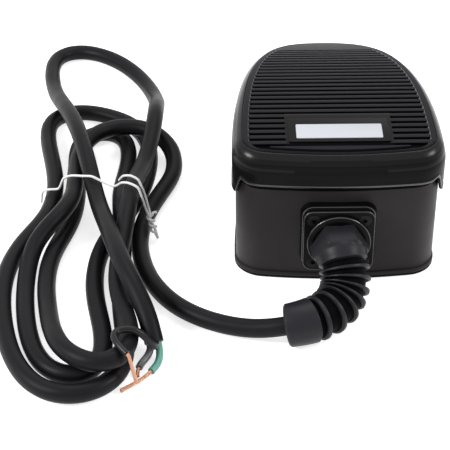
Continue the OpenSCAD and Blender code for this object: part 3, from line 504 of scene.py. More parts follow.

# %% [markdown]
# ## Tread mat
# The mat is a rubber sheet that lies in the cover's recess, with a plain border round a
# grooved field. Cutting every groove with a Boolean would leave long thin faces and bad
# shading. It is easier the other way round: the border and the sunken floor of the field
# are one piece of rings, and the ribs that stay between the grooves are set on that floor
# afterwards. The floor gets a near-black finish, painted shade for the little light that
# gets down there, and the groove ends get a light grey finish, a painted highlight where the border's edge
# turns down.

# %% Border and floor of the mat
GROOVE_PITCH, GROOVE_W, GROOVE_D, RISE = 4.46, 1.7, 1.3, 0.2
MAT_IN = RIM_IN + 4.4
FIELD_HW, FIELD_Y0, FIELD_Y1, FIELD_R = 42.4, -72.1, 69.0, 9.0
FIELD_BOW = LID_BOW * 0.85
BORDER = ((0, 0.15 - RECESS), (0, RISE - 0.5), (0.12, RISE - 0.18), (0.45, RISE))
FIELD_EDGE = ((0.75, 0), (0.6, -0.06), (0.12, -0.75), (0, 0.05 - GROOVE_D), (0, -GROOVE_D))

def field_ring(grow, lift):
    """Outline of the grooved field, grown outwards and lifted over the crown."""
    half = half_plan(FIELD_HW + grow, FIELD_Y0 - grow, FIELD_Y1 + grow, FIELD_R + grow, FIELD_BOW)
    return [(x, y, crown(y) + lift) for x, y in full(half)]

border = [cover_ring(MAT_IN + d, under_crown(-lift)) for d, lift in BORDER]
border += [field_ring(grow, RISE + lift) for grow, lift in FIELD_EDGE]
mat = Build()
mat.rings(border)
mat.strips(border[-1])
mat.strips(border[0], flip=True)
print("mat rings", len(border), "field length", FIELD_Y1 - FIELD_Y0, "groove depth", GROOVE_D)

# %% Rubber of the mat
coat("tread", "tread_rubber", (0.011, 0.011, 0.0145), 0.5, 1600, 0.12, 0.00012, specular=0.09)
# Painted highlight: a light grey, glossy finish on the border's edge at the groove ends.
coat("painted_highlight_tick", "groove_end", (0.15, 0.15, 0.16), 0.35, 1600, 0.05, specular=0.6)
# Painted shade: a near-black finish for groove floors, rib walls, sleeve valleys, screw sockets and the
# gap under the skirt.
coat("groove", "shadow_black", (0.0015, 0.0015, 0.0018), 0.6, 1600, 0.1, specular=0.03)
SIDE_X = 34

def on_floor(c, n):
    """The sunken floor of the field, which faces up."""
    return c.z < crown(c.y) - 0.6 and n.z > 0.5 and abs(n.x) < 0.3

def on_groove_end(c, n):
    """The turned-down edge of the border, along the sides and round the heel, where the painted highlight
    goes.
    """
    down = c.z - crown(c.y) - RISE
    faces_in = c.x * n.x + c.y * n.y < 0
    return -1.0 < down < -0.05 and 0.3 < n.z < 0.97 and faces_in and (abs(c.x) > SIDE_X or c.y > 0)

mat_skin = skin(mat, "tread_border", "tread", sharp=40)
dress(mat_skin, "pedal", ["tread_mat"])
finish_faces(mat_skin, "groove", on_floor)
finish_faces(mat_skin, "painted_highlight_tick", on_groove_end)

# %% [markdown]
# ## A helper for Geometry Nodes
# Geometry Nodes can be wired by hand in the editor, but this notebook builds its trees in
# the script, so that they can be read and changed here. `Tree` keeps that short. It makes
# the group with its named inputs, and each new node takes a value or another node's
# output. `grown` runs a tree on an empty mesh and keeps the result as a plain mesh. It sets
# the modifier's inputs by the sockets' identifiers, because their names are only labels.

# %% Names and kinds of sockets
KINDS = {"int": "NodeSocketInt", "float": "NodeSocketFloat", "object": "NodeSocketObject",
         "material": "NodeSocketMaterial", "geometry": "NodeSocketGeometry"}

def spaced(title):
    """A socket's name, written in the script with _ for a space."""
    return title.replace("_", " ")

# %% Tree
class Tree:
    """A Geometry Nodes group with named inputs, wired one node at a time."""
    def __init__(self, name, **sockets):
        self.group = bpy.data.node_groups.new(name, "GeometryNodeTree")
        for title, kind in {"Geometry": "geometry", **sockets}.items():
            self.group.interface.new_socket(spaced(title), in_out="INPUT", socket_type=KINDS[kind])
        self.group.interface.new_socket("Geometry", in_out="OUTPUT", socket_type=KINDS["geometry"])
        self.given = self.group.nodes.new("NodeGroupInput").outputs

    def plug(self, socket, value):
        """Links an output to a socket, or sets the socket to a plain value."""
        if isinstance(value, bpy.types.NodeSocket):
            self.group.links.new(value, socket)
        else:
            socket.default_value = value

    def node(self, kind, **inputs):
        """Adds a node, fills its named inputs and gives its first output."""
        made = self.group.nodes.new(kind)
        for title, value in inputs.items():
            self.plug(made.inputs[spaced(title)], value)
        return made.outputs[0]

    def calc(self, operation, *terms):
        """Adds one step of arithmetic."""
        made = self.group.nodes.new("ShaderNodeMath")
        made.operation = operation
        for socket, value in zip(made.inputs, terms):
            self.plug(socket, value)
        return made.outputs[0]

# %% Copies, material and output
def finish_tree(tree, points, copied, **placing):
    """Sets a copy on every point, makes the copies real and gives them their material."""
    shape = tree.group.nodes.new("GeometryNodeObjectInfo")
    tree.plug(shape.inputs["Object"], copied)
    copies = tree.node("GeometryNodeInstanceOnPoints", Points=points,
                       Instance=shape.outputs["Geometry"], **placing)
    real = tree.node("GeometryNodeRealizeInstances", Geometry=copies)
    painted = tree.node("GeometryNodeSetMaterial", Geometry=real, Material=tree.given["Material"])
    tree.plug(tree.group.nodes.new("NodeGroupOutput").inputs["Geometry"], painted)

# %% From a tree to a plain mesh
def grown(tree, name, **values):
    """Runs a tree with these inputs and returns the result as a plain mesh object."""
    host = bpy.data.objects.new(name + "_host", bpy.data.meshes.new(name + "_host"))
    scene.collection.objects.link(host)
    mod = host.modifiers.new(name, "NODES")
    mod.node_group = tree.group
    sockets = {s.name: s.identifier for s in tree.group.interface.items_tree if s.in_out == "INPUT"}
    for title, value in values.items():
        mod[sockets[spaced(title)]] = value
    dg = bpy.context.evaluated_depsgraph_get()
    me = bpy.data.meshes.new_from_object(host.evaluated_get(dg), depsgraph=dg)
    bpy.data.objects.remove(host)
    ob = bpy.data.objects.new(name, me)
    scene.collection.objects.link(ob)
    print(name, "grown with", len(me.polygons), "faces and", len(me.materials), "finish")
    return ob

# %% [markdown]
# ## Tread ribs
# Twenty-five straight ribs run across the pedal, one every 4.46 mm. Each is the same bar,
# only its height, slope and width change along the pedal. An Array modifier repeats at
# fixed steps but can't follow the crown, so the ribs are grown: a line of points along Y,
# each point lifted to the crown, and a bar on each, turned to the slope and scaled to the
# width that the rounded heel leaves there.

# %% One rib
RIB_W, RIB_ROUND = GROOVE_PITCH - GROOVE_W, 0.32
METRE = 1 / MM

def rib_bar():
    """A bar with rounded upper edges, one metre long to each side; the tree scales it in X."""
    w, r, low = RIB_W / 2, RIB_ROUND, -GROOVE_D - 0.05
    section = [(-w, low), (w, low), (w, -r), (w - 0.1, -0.1), (w - r, 0), (-w + r, 0),
               (-w + 0.1, -0.1), (-w, -r)]
    n = len(section)
    points = [Vector((x, y, z)) * MM for x in (-METRE, METRE) for y, z in section]
    faces = [tuple(range(n - 1, -1, -1)), tuple(range(n, 2 * n))]
    faces += [((k + 1) % n, (k + 1) % n + n, k + n, k) for k in range(n)]
    me = bpy.data.meshes.new("rib_bar")
    me.from_pydata(points, [], faces)
    shade(me, 50)
    return bpy.data.objects.new("rib_bar", me)

# %% Rows of the rib tree, lifted to the crown
ribs_tree = Tree("tread_ribs", Count="int", First="float", Pitch="float", Top="float", Radius="float",
                 Half_width="float", Shoulder="float", Heel="float", Bar="object", Material="material")
given, calc, node = ribs_tree.given, ribs_tree.calc, ribs_tree.node
row = node("GeometryNodeMeshLine", Count=given["Count"],
           Start_Location=node("ShaderNodeCombineXYZ", Y=given["First"]),
           Offset=node("ShaderNodeCombineXYZ", Y=given["Pitch"]))
split = ribs_tree.group.nodes.new("ShaderNodeSeparateXYZ")
ribs_tree.plug(split.inputs[0], node("GeometryNodeInputPosition"))
y = split.outputs["Y"]
u = calc("ADD", y, -CROWN_Y * MM)
u2 = calc("MULTIPLY", u, u)
fall = CROWN_FALL / MM ** 2
drop = calc("ADD", calc("DIVIDE", u2, calc("MULTIPLY", given["Radius"], 2.0)),
            calc("MULTIPLY", calc("MULTIPLY", u2, u), fall))
place = node("ShaderNodeCombineXYZ", Y=y, Z=calc("SUBTRACT", given["Top"], drop))
rows = node("GeometryNodeSetPosition", Geometry=row, Position=place)
print("rib tree sockets", [s.name for s in given if s.name])

# %% Turn and width of each rib
slope = calc("ADD", calc("DIVIDE", u, given["Radius"]), calc("MULTIPLY", u2, 3 * fall))
turn = node("ShaderNodeCombineXYZ", X=calc("MULTIPLY", calc("ARCTANGENT", slope), -1.0))
heel_share = calc("DIVIDE", calc("SUBTRACT", y, given["Shoulder"]),
                  calc("SUBTRACT", given["Heel"], given["Shoulder"]))
heel_share = calc("MAXIMUM", heel_share, 0.0)
width = calc("POWER", calc("SUBTRACT", 1.0, calc("POWER", heel_share, HEEL_POWER)), 1 / HEEL_POWER)
scale = node("ShaderNodeCombineXYZ", X=calc("MULTIPLY", width, given["Half width"]), Y=1.0, Z=1.0)
finish_tree(ribs_tree, rows, given["Bar"], Rotation=turn, Scale=scale)

# %% Grow the ribs
RIB_ROWS, FIRST_RIB = 25, -BASE_L / 2 + 2.7 + GROOVE_PITCH * 1.5
SHOULDER_Y, SEATED = -61.5, 0.02
bar = rib_bar()
ribs = grown(ribs_tree, "tread_ribs", Count=RIB_ROWS, First=FIRST_RIB * MM, Pitch=GROOVE_PITCH * MM,
             Top=(TOP + RISE - SEATED) * MM, Radius=CROWN_R * MM, Half_width=(FIELD_HW + 0.35) * MM,
             Shoulder=SHOULDER_Y * MM, Heel=FIELD_Y1 * MM, Bar=bar, Material=M["tread"])
bpy.data.objects.remove(bar)
dress(ribs, "pedal")
# The ribs' side walls take the painted shade finish.
finish_faces(ribs, "groove", lambda c, n: n.z < 0.5)
print("rib rows", RIB_ROWS, "first at", round(FIRST_RIB, 2),
      "tops up", sum(f.normal.z > 0.9 for f in ribs.data.polygons))

# %% [markdown]
# ## Plain fields of the tread
# Three places of the mat have no grooves: a curved strip at the front edge, the field under
# the label and a rounded end at the heel. On the real mat they are all one rubber. Here they
# are thin pieces laid on the crown. A flat patch with a Shrinkwrap modifier would do the
# same, but the crown is a formula, so each point is put at its height directly. The field
# under the label is as black as the label itself and is hard to tell from it.

# %% Laying an outline on the crown
def centre(points):
    """Middle of an outline, as the average of its points."""
    return Vector((sum(p[0] for p in points) / len(points), sum(p[1] for p in points) / len(points)))

def lay(points, lift=0.0, inset=0.25):
    """Rings of a flat field on the crown, with a small slope round its upper edge."""
    middle, rings = centre(points), []
    for share, rise in ((0, -GROOVE_D - 0.05), (0, -0.3), (0.3, -0.06), (1, 0)):
        ring = []
        for p in map(Vector, points):
            q = p + (middle - p).normalized() * inset * share
            ring.append((q.x, q.y, crown(q.y) + RISE - SEATED + lift + rise))
        rings.append(ring)
    return rings

# %% Front strip
land = Build()
STRIP_BACK = FIRST_RIB - GROOVE_PITCH / 2 - GROOVE_W / 2
across = [FIELD_HW * (i / 30 * 2 - 1) for i in range(31)]
front_edge = [(x * 0.97, FIELD_Y0 + 1.5 + FIELD_BOW * (x / FIELD_HW) ** 2) for x in across]
strip = [p for p in front_edge if p[1] < STRIP_BACK - 0.5]
strip += [(strip[-1][0], STRIP_BACK), (strip[0][0], STRIP_BACK)]
land.rings(lay(strip), cap_first=True, cap_last=True)
print("front strip from", FIELD_Y0 + 1.5, "to", round(STRIP_BACK, 2))

# %% Field under the label
LABEL_W, LABEL_D, LABEL_Y = 48.0, 19.0, -BASE_L / 2 + 17.8
LABEL_ROWS, FIELD_STEPS, FIELD_LIFT = 5, 14, 0.04
field_x = LABEL_W / 2 + 1.4
field_front = STRIP_BACK + GROOVE_W
field_back = field_front + LABEL_ROWS * GROOVE_PITCH + RIB_W
ys = [field_front + (field_back - field_front) * i / FIELD_STEPS for i in range(FIELD_STEPS + 1)]
field = [(field_x, y) for y in ys] + [(-field_x, y) for y in reversed(ys)]
top = land.rings(lay(field, FIELD_LIFT), cap_first=True) + 3 * len(field)
last = len(field) - 1
land.f += [(top + j, top + j + 1, top + last - 1 - j, top + last - j) for j in range(FIELD_STEPS)]
print("label field from", round(field_front, 2), "to", round(field_back, 2))

# %% Heel field
HEEL_ROWS, HEEL_T = 16, 1
heel_start = FIRST_RIB + (RIB_ROWS - 1) * GROOVE_PITCH + RIB_W / 2 + GROOVE_W

def heel_width(y):
    """Half the width that the rounded heel leaves at y."""
    share = (y - SHOULDER_Y) / (FIELD_Y1 - SHOULDER_Y)
    return max((FIELD_HW + 0.3) * max(0.0, 1 - share ** HEEL_POWER) ** (1 / HEEL_POWER), 0.05)

begin = len(land.v)
for i in range(HEEL_ROWS + 1):
    y = heel_start + (FIELD_Y1 - 0.4 - heel_start) * (1 - (1 - i / HEEL_ROWS) ** 2)
    w, z = heel_width(y), crown(y) + RISE - SEATED
    land.v += [Vector((x, y, level)) for level in (z, z - HEEL_T) for x in (w, -w)]
for a in range(begin, begin + 4 * HEEL_ROWS, 4):
    b = a + 4
    land.f += [(a, b, b + 1, a + 1), (a + 2, a + 3, b + 3, b + 2),
               (a, a + 2, b + 2, b), (a + 1, b + 1, b + 3, a + 3)]
end = begin + 4 * HEEL_ROWS
land.f += [(begin, begin + 1, begin + 3, begin + 2), (end, end + 2, end + 3, end + 1)]
print("heel field from", round(heel_start, 2), "width there", round(2 * heel_width(heel_start), 2))

# %% All three fields
coat("label", "label_black", (0.003, 0.003, 0.0035), 0.4, 900, 0.03, specular=0.1)
land_skin = dress(skin(land, "tread_lands", "tread", sharp=40), "pedal")
finish_faces(land_skin, "label", lambda c, n: abs(c.x) < field_x + 0.1 and n.z > 0
             and field_front - 0.1 < c.y < field_back + 0.1)

# %% [markdown]
# ## Label
# A thin black plate lies on the tread and carries a silver panel. Both are left bare. Each
# is a rounded outline pulled up into a thin prism, which is what a stamped plate is. A cube
# with a Bevel modifier would round its corners too, but then also the same on every edge,
# and a plate has large corners in its plan and only a fine break on its edges. `place` lays
# the flat drawing on the sloping crown, so the outline stays a simple drawing.

# %% Plates from a rounded outline
def rounded_rect(w, d, r, n=8):
    """Outline w by d round the origin, with n steps in each corner of radius r."""
    pts = []
    for cx, cy, a0 in ((w / 2 - r, d / 2 - r, 0), (-w / 2 + r, d / 2 - r, 90),
                       (-w / 2 + r, -d / 2 + r, 180), (w / 2 - r, -d / 2 + r, 270)):
        for i in range(n + 1):
            a = math.radians(a0 + 90 * i / n)
            pts.append((cx + r * math.cos(a), cy + r * math.sin(a)))
    return pts

def prism(build, outline, depth, place, edge=0.0):
    """Pulls a flat outline up by depth; place maps (x, y, height) to the object."""
    middle, rings = centre(outline), []
    levels = [(0, 0), (0, depth)]
    if edge:
        arc = [(edge * (1 - math.cos(a)), edge * (1 - math.sin(a)))
               for a in map(math.radians, (0, 30, 60, 90))]
        levels = [(i, z) for i, z in reversed(arc)] + [(i, depth - z) for i, z in arc]
    for inset, z in levels:
        drawn = [Vector(p) + (middle - Vector(p)).normalized() * inset for p in outline]
        rings.append([place(*p, z) for p in drawn])
    build.rings(rings, cap_first=True, cap_last=True)

# %% Label and panel
PLATE_H, PANEL_H, LABEL_LIFT = 0.7, 0.4, 0.15
PANEL_W, PANEL_D, PANEL_Y = LABEL_W - 7.4, 11.2, -1.5
coat("panel", "label_silver", (0.6, 0.62, 0.67), 0.5, 2200, 0.04, specular=0.4)

def on_label(x, y, z):
    """From the label's own drawing to its place on the sloping crown."""
    a = tilt(LABEL_Y)
    return Vector((x, LABEL_Y + y * math.cos(a) - z * math.sin(a),
                   crown(LABEL_Y) + RISE + LABEL_LIFT + y * math.sin(a) + z * math.cos(a)))

plate = Build()
prism(plate, rounded_rect(LABEL_W, LABEL_D, 1.2), PLATE_H, on_label, 0.2)
dress(skin(plate, "label_backing", "label"), "pedal", ["label_plate"])
panel = Build()
panel_outline = [(x, y + PANEL_Y) for x, y in rounded_rect(PANEL_W, PANEL_D, 0.6)]
prism(panel, panel_outline, PANEL_H, lambda x, y, z: on_label(x, y, z + PLATE_H), 0.1)
dress(skin(panel, "label_face", "panel"), "pedal", ["label_panel"])

# %% [markdown]
# ## Base casting
# The base is one casting: a floor, walls that follow the crown, two posts that carry the
# rubber bumpers, four bosses for screws and two lugs for the hinge pin. Its walls are rings
# of the plan again, first up the outside, over a small step at the top, and down the
# inside. Posts and lugs just stand in the floor. Joining them with a Boolean modifier would
# cost clean shading and gain nothing, because nobody sees their feet.

# %% Heights of the casting
SHEET_T, PLATE_T, FLOOR_T, WALL_T = 1.2, 2.2, 3.0, 3.2
ZB, ZF = SHEET_T + PLATE_T, SHEET_T + PLATE_T + FLOOR_T
HINGE_Y, HINGE_Z = 50.0, 30.0
OUTER_DROP, INNER_DROP = 9.3, 6.6

def wall_top(y, drop=INNER_DROP):
    """Top of the walls, under the crown and clear of the cover when it is pressed."""
    return crown(y) - drop - max(0.0, (HINGE_Y - y) * 0.05)

def outer_top(down):
    """The outer step of the walls, some way down from its edge."""
    return lambda y: wall_top(y, OUTER_DROP) - down

def shade_line(x, y):
    """Where the wall goes dark under the skirt; lower at the front, where the gap is wide."""
    return hem(x, y) - 1.6 - 2.7 * smooth(-64, -73, y)

print("wall tops at front and heel", round(wall_top(-BASE_L / 2), 2), round(wall_top(BASE_L / 2), 2))

# %% Walls of the casting
def wall_ring(d, level):
    """The casting's plan drawn in by d, with heights that depend on y alone."""
    return [(x, y, level(y)) for x, y in base_plan(d)]

shell = [[(x, y, ZB + up) for x, y in base_plan(d)] for d, up in ((0.5, 0), (0.15, 0.15), (0, 0.5))]
shell.append([(b[0], b[1], shade_line(*a)) for a, b in zip(lid_plan(0), base_plan(0))])
shell += [wall_ring(d, outer_top(down)) for d, down in ((0, 0.4), (0.15, 0.1), (0.4, 0), (1.4, 0))]
shell += [wall_ring(1.4, lambda y: wall_top(y) - 0.2), wall_ring(1.6, wall_top),
          wall_ring(WALL_T, wall_top), wall_ring(WALL_T, lambda y: ZF)]
base = Build()
base.rings(shell)
base.strips(shell[-1])
base.strips(shell[0], flip=True)
print("casting rings", len(shell))

# %% Posts and hinge lugs
BUMPER_POST, REAR_BOSS, SIDE_BOSS = (34, 18 - BASE_L / 2), (11, BASE_L / 2 - 13), (30, 14)
POST_TOP, BOSS_TOP, POST_R, BOSS_R = 54, ZF + 8, 6, 5
LUG_R, LUG_T, LUG_X, ROOT = 8, 3.5, 16, ZF - 0.2

def post(build, x, y, top, r, sides=40, broken=0.3):
    """A round post that stands a little in the floor and has broken edges."""
    turns = [2 * math.pi * k / sides for k in range(sides)]
    levels = ((r - broken, ROOT), (r, ROOT + broken), (r, top - broken), (r - broken, top))
    rings = [[(x + rr * math.cos(a), y + rr * math.sin(a), z) for a in turns] for rr, z in levels]
    build.rings(rings, cap_first=True, cap_last=True)

lug = [(HINGE_Y - LUG_R, ROOT), (HINGE_Y + LUG_R, ROOT)]
lug += [(HINGE_Y + LUG_R * math.cos(a), HINGE_Z + LUG_R * math.sin(a))
        for a in map(math.radians, range(0, 181, 15))]
for s in (-1, 1):
    post(base, s * BUMPER_POST[0], BUMPER_POST[1], POST_TOP, POST_R)
    post(base, s * REAR_BOSS[0], REAR_BOSS[1], BOSS_TOP, BOSS_R)
    post(base, s * SIDE_BOSS[0], SIDE_BOSS[1], BOSS_TOP, BOSS_R)
    lug_from = LUG_X if s > 0 else -LUG_X - LUG_T
    prism(base, lug, LUG_T, lambda y, z, x, x0=lug_from: Vector((x0 + x, y, z)))
print("casting points", len(base.v))

# %% [markdown]
# ## Paint of the base
# Cast metal is painted a dull, slightly warm black. A casting is rougher than pressed
# steel, so its grain is stronger and its gloss drifts. Right under the skirt the wall lies
# in a narrow dark gap. Soft light from all round leaves such a gap too pale, so the band
# over `shade_line` gets the shadow finish.

# %% Finish of the base
coat("cast", "cast_paint", (0.025, 0.0208, 0.0225), 0.46, 1100, 0.16, specular=0.14,
     rough_range=(0.4, 0.52))
LID_OVER_BASE = (1.04, 1.06)

def in_gap(c, n):
    """Outer wall faces over the shade line, read on the cover's wider plan."""
    outer_wall = abs(n.z) < 0.5 and n.x * c.x + n.y * c.y > 0
    return outer_wall and shade_line(c.x * LID_OVER_BASE[0], c.y * LID_OVER_BASE[1]) + 0.1 < c.z

base_skin = dress(skin(base, "base_skin", "cast", sharp=40), "base", ["base_housing"])
finish_faces(base_skin, "groove", in_gap)

# %% [markdown]
# ## Gland boss
# The casting has a square boss at the front, so that the gland stands on a flat face. It
# grows out of the wall with a soft foot and ends in a rounded edge. A bevelled cube would
# have the same edge all round, so the boss is a stack of rounded squares that get smaller
# on the way out. Its edge gets a lighter, glossier finish, a painted highlight that draws its outline on
# the dark wall.

# %% Boss on the front wall
GLAND_S, BOSS_OUT = 34.0, 3.2
BOSS_Y = -BASE_L / 2 - BOSS_OUT
WALL_Y = -BASE_L / 2

def boss_ring(grow, y, r):
    """A rounded square at y, larger than the gland plate by `grow`."""
    w = GLAND_S + grow
    return [Vector((x, y, GLAND_Z + 0.1 + z)) for x, z in rounded_rect(w, w, r, 10)]

boss = Build()
boss.rings([boss_ring(*row) for row in (
    (3.0, WALL_Y + 4, 6.5), (2.4, WALL_Y + 0.4, 6.2), (1.8, WALL_Y - 0.5, 5.9), (1.3, WALL_Y - 1.4, 5.6),
    (1.1, BOSS_Y + 0.6, 5.4), (0.9, BOSS_Y + 0.2, 5.2), (0.2, BOSS_Y, 5))], cap_first=True, cap_last=True)
boss_skin = dress(skin(boss, "gland_boss", "cover", sharp=50), "base")
finish_faces(boss_skin, "edge", lambda c, n: c.y < BOSS_Y + 0.3 and n.y > -0.97)

# %% [markdown]
# ## Bottom plate and rubber sheet
# A steel plate closes the casting from below and a rubber sheet under it stops the switch
# from sliding. From outside they show as two thin lines at the foot, both a little wider
# than the casting. A Bevel modifier on a plain slab would do here too, but its plan has many
# short edges where a bevel can go wrong. Four rings of the same plan make a rounded slab,
# and one function makes both.

# %% Bottom plate and rubber sheet
coat("sheet", "sheet_rubber", (0.006, 0.006, 0.006), 0.7, 1200, 0.2, specular=0.1)
GAP = 0.02

def slab(z0, z1, out, r):
    """A slab of the base's plan, standing out by `out` and rounded by r."""
    rings = [[(x, y, z) for x, y in base_plan(d)]
             for d, z in ((r - out, z0), (-out, z0 + r), (-out, z1 - r), (r - out, z1))]
    build = Build()
    build.rings(rings)
    build.strips(rings[-1])
    build.strips(rings[0], flip=True)
    return build

foot = slab(SHEET_T + GAP, ZB - GAP, 0.7, 0.35)
dress(skin(foot, "foot_plate", "cast", sharp=50), "base", ["bottom_plate"])
rubber = slab(0, SHEET_T, 0.6, 0.2)
dress(skin(rubber, "foot_rubber", "sheet", sharp=50), "base", ["non_slip_sheet"])

# %% [markdown]
# ## Gland plate
# The lead enters through a gland, which seals it and takes its pull. A rubber gasket, a
# square plate and four countersunk screws hold it to the boss. Scaled cubes could stand for
# both, but `prism` already makes such plates for the label and only has to face the front.
# The plate's broken edge gets the lighter, glossier edge finish, a painted highlight.

# %% Gasket and plate
PLATE_Y, PLATE_FRONT = BOSS_Y - 0.8, BOSS_Y - 3.3

def facing(y0):
    """Stands a drawing upright at y0, with its depth towards the front."""
    return lambda x, z, depth: Vector((x, y0 - depth, GLAND_Z + z))

gasket = Build()
prism(gasket, rounded_rect(GLAND_S - 0.4, GLAND_S - 0.4, 4.4), 0.8, facing(BOSS_Y))
dress(skin(gasket, "gasket_skin", "sheet"), "base", ["gland_gasket"])
gland_plate = Build()
prism(gland_plate, rounded_rect(GLAND_S, GLAND_S, 4.5, 12), 2.5, facing(PLATE_Y), 0.45)
plate_skin = skin(gland_plate, "gland_plate_skin", "cover", sharp=50)
dress(plate_skin, "base", ["gland_plate"])
finish_faces(plate_skin, "edge", lambda c, n: -0.97 < n.y < -0.15)

# %% [markdown]
# ## Gland screws and nut
# Screw heads and the round nut are turned parts, so each is a lathe profile: pairs of
# radius and height that go once round the axis. Blender's Screw modifier does the same with
# a drawn profile, but here the numbers are at hand. The four screws are alike, so one head
# is turned, and Geometry Nodes set a copy of it on each corner of an upright square.

# %% Turned parts
def lathe(build, origin, axis, profile, sides=64):
    """Turns (radius, height) pairs about an axis into a ring-shaped closed skin."""
    axis = Vector(axis).normalized()
    s = axis.orthogonal().normalized()
    q = axis.cross(s)
    rings = []
    for r, h in profile:
        turns = [2 * math.pi * k / sides for k in range(sides)]
        rings.append([Vector(origin) + axis * h + r * (math.cos(a) * s + math.sin(a) * q) for a in turns])
    build.rings(rings, closed=True)

# %% Tree that sets a head on each corner of a square
screw_tree = Tree("gland_screws", Spacing="float", Front="float", Height="float",
                  Head="object", Material="material")
given, node = screw_tree.given, screw_tree.node
square = node("GeometryNodeMeshGrid", Size_X=given["Spacing"], Size_Y=given["Spacing"],
              Vertices_X=2, Vertices_Y=2)
upright = node("GeometryNodeTransform", Geometry=square, Rotation=(math.pi / 2, 0, 0),
               Translation=node("ShaderNodeCombineXYZ", Y=given["Front"], Z=given["Height"]))
finish_tree(screw_tree, upright, given["Head"])
print("screw tree sockets", [s.name for s in given if s.name])

# %% Four countersunk screws
coat("dark", "dark_screw", (0.007, 0.007, 0.0075), 0.36, 1500, 0.06, specular=0.12)
SCREW_AT, HEX_R = 12, 1.25
HEAD = [(3.1, 0.0), (3.1, 0.35), (2.95, 0.5), (2.2, 0.62), (1.1, 0.66), (1.05, 0.2), (0.01, 0.15),
        (0.01, 0.0)]
head = Build()
lathe(head, (0, 0, 0), (0, -1, 0), HEAD, 40)
head_shape = skin(head, "screw_head", "dark", sharp=30)
heads = grown(screw_tree, "gland_screw_heads", Spacing=2 * SCREW_AT * MM, Front=(PLATE_FRONT - GAP) * MM,
              Height=GLAND_Z * MM, Head=head_shape, Material=M["dark"])
bpy.data.objects.remove(head_shape)
dress(heads, "base", ["gland_screws"])
# The hex sockets take the painted shade finish.
finish_faces(heads, "groove", lambda c, n: (abs(c.x) - SCREW_AT) ** 2
             + (abs(c.z - GLAND_Z) - SCREW_AT) ** 2 < HEX_R ** 2)

# %% Gland nut
NUT_R, NUT_HUB, NUT_BORE = 15.3, 13.1, 6.7
nut = Build()
lathe(nut, (0, PLATE_FRONT, GLAND_Z), (0, -1, 0),
      [(NUT_BORE, 0.0), (NUT_R, 0.0), (NUT_R, 1.7), (NUT_R - 0.1, 2.0), (NUT_R - 0.4, 2.3),
       (NUT_HUB + 0.2, 2.35), (NUT_HUB, 2.5), (NUT_HUB, 3.48), (NUT_BORE, 3.48)], 96)
nut_skin = dress(skin(nut, "gland_nut_skin", "cover", sharp=50), "base", ["gland_nut"])
# The nut's front edge takes the painted highlight finish.
finish_faces(nut_skin, "edge",
             lambda c, n: -0.97 < n.y < -0.1 and math.hypot(c.x, c.z - GLAND_Z) > NUT_R - 0.8)
print("gland plate front at y", PLATE_FRONT)

# %% [markdown]
# ## Bend relief
# A lead breaks where it leaves a stiff housing, so a moulded sleeve spreads the bend: a
# hexagonal head, seven ribs that let it flex and a plain mouth. A curve with a bevel object
# keeps one shape of section all the way, and a stack of separate rings would show gaps on
# the bend. So one section is swept along the lead, and its radius is a function of the
# place on the way: the head's hexagon first, then ribs and valleys, then the mouth.

# %% Profile of the sleeve
HEAD_AF, HEAD_R, HEAD_END, HEAD_FADE = 24.0, 12.2, 0.8, 0.12
NECK = ((0.4, 0.9, 1.2), (2.2, 1.22, 1.34))
CREST_R, TAPER, TAPER_GROWTH = 12.4, 0.05, 0.078
RIB_AT = (1.6, 1.96, 2.32, 2.68, 3.09, 3.57, 4.04)
RIB_FRONT, RIB_BACK, RIB_H, SOFT = 0.075, 0.06, 2.3, 0.03
FIRST_VALLEY, MOUTH, SLEEVE_END = 1.36, 4.24, 5.1

def crest_radius(t):
    """Outer radius over ribs and mouth at route parameter t; the sleeve gets slimmer."""
    return CREST_R - TAPER * t - TAPER_GROWTH * t * t

def between(t, a, b):
    """1 between a and b and 0 outside, with soft ends."""
    return smooth(a - SOFT, a + SOFT, t) * (1 - smooth(b - SOFT, b + SOFT, t))

def sleeve_radius(t):
    """The round part: the head and its neck in two steps down, then ribs and mouth."""
    if t < FIRST_VALLEY:
        return HEAD_R - sum(step * smooth(a, b, t) for step, a, b in NECK)
    ridge = max(between(t, at - RIB_FRONT, at + RIB_BACK) for at in RIB_AT)
    ridge = max(ridge, smooth(MOUTH - SOFT, MOUTH + SOFT, t))
    return crest_radius(t) - RIB_H * (1 - ridge)

print("sleeve radius at head, first rib and mouth",
      [round(sleeve_radius(t), 2) for t in (0.5, RIB_AT[0], SLEEVE_END)])

# %% Section of the sleeve
SLEEVE_STEPS, SLEEVE_SIDES = 500, 72
MOUTH_ROUND, BACK_ROUND = (0.6, 0.05), (0.7, 0.1)
CORNER = math.cos(math.radians(30))

def hexagon(a):
    """Factor that turns a circle of the corner radius into a hexagon with a flat on top."""
    return CORNER / math.cos(a % math.radians(60) - math.radians(30))

def outer_radius(t, a):
    """Radius of the sleeve at route parameter t and angle a: hexagon first, then round."""
    r = sleeve_radius(t) - MOUTH_ROUND[0] * smooth(SLEEVE_END - MOUTH_ROUND[1], SLEEVE_END, t)
    fade = smooth(HEAD_END, HEAD_END + HEAD_FADE, t)
    if fade >= 1:
        return r
    back_edge = BACK_ROUND[0] * (1 - smooth(0.0, BACK_ROUND[1], t))
    return (HEAD_AF / 2 / CORNER * hexagon(a) - back_edge) * (1 - fade) + r * fade

# %% Sweep along a line
def sweep(line, radius_at, sides, fit=None):
    """Rings round a line; radius_at(i, angle) gives the size and fit may move a point."""
    s, rings = Vector((1, 0, 0)), []
    for i, p in enumerate(line):
        t = (line[min(i + 1, len(line) - 1)] - line[max(i - 1, 0)]).normalized()
        s = (s - t * s.dot(t)).normalized()
        q = t.cross(s)
        ring = []
        for a in (2 * math.pi * k / sides for k in range(sides)):
            v = p + radius_at(i, a) * (math.cos(a) * s + math.sin(a) * q)
            ring.append(fit(i, v) if fit else v)
        rings.append(ring)
    return rings

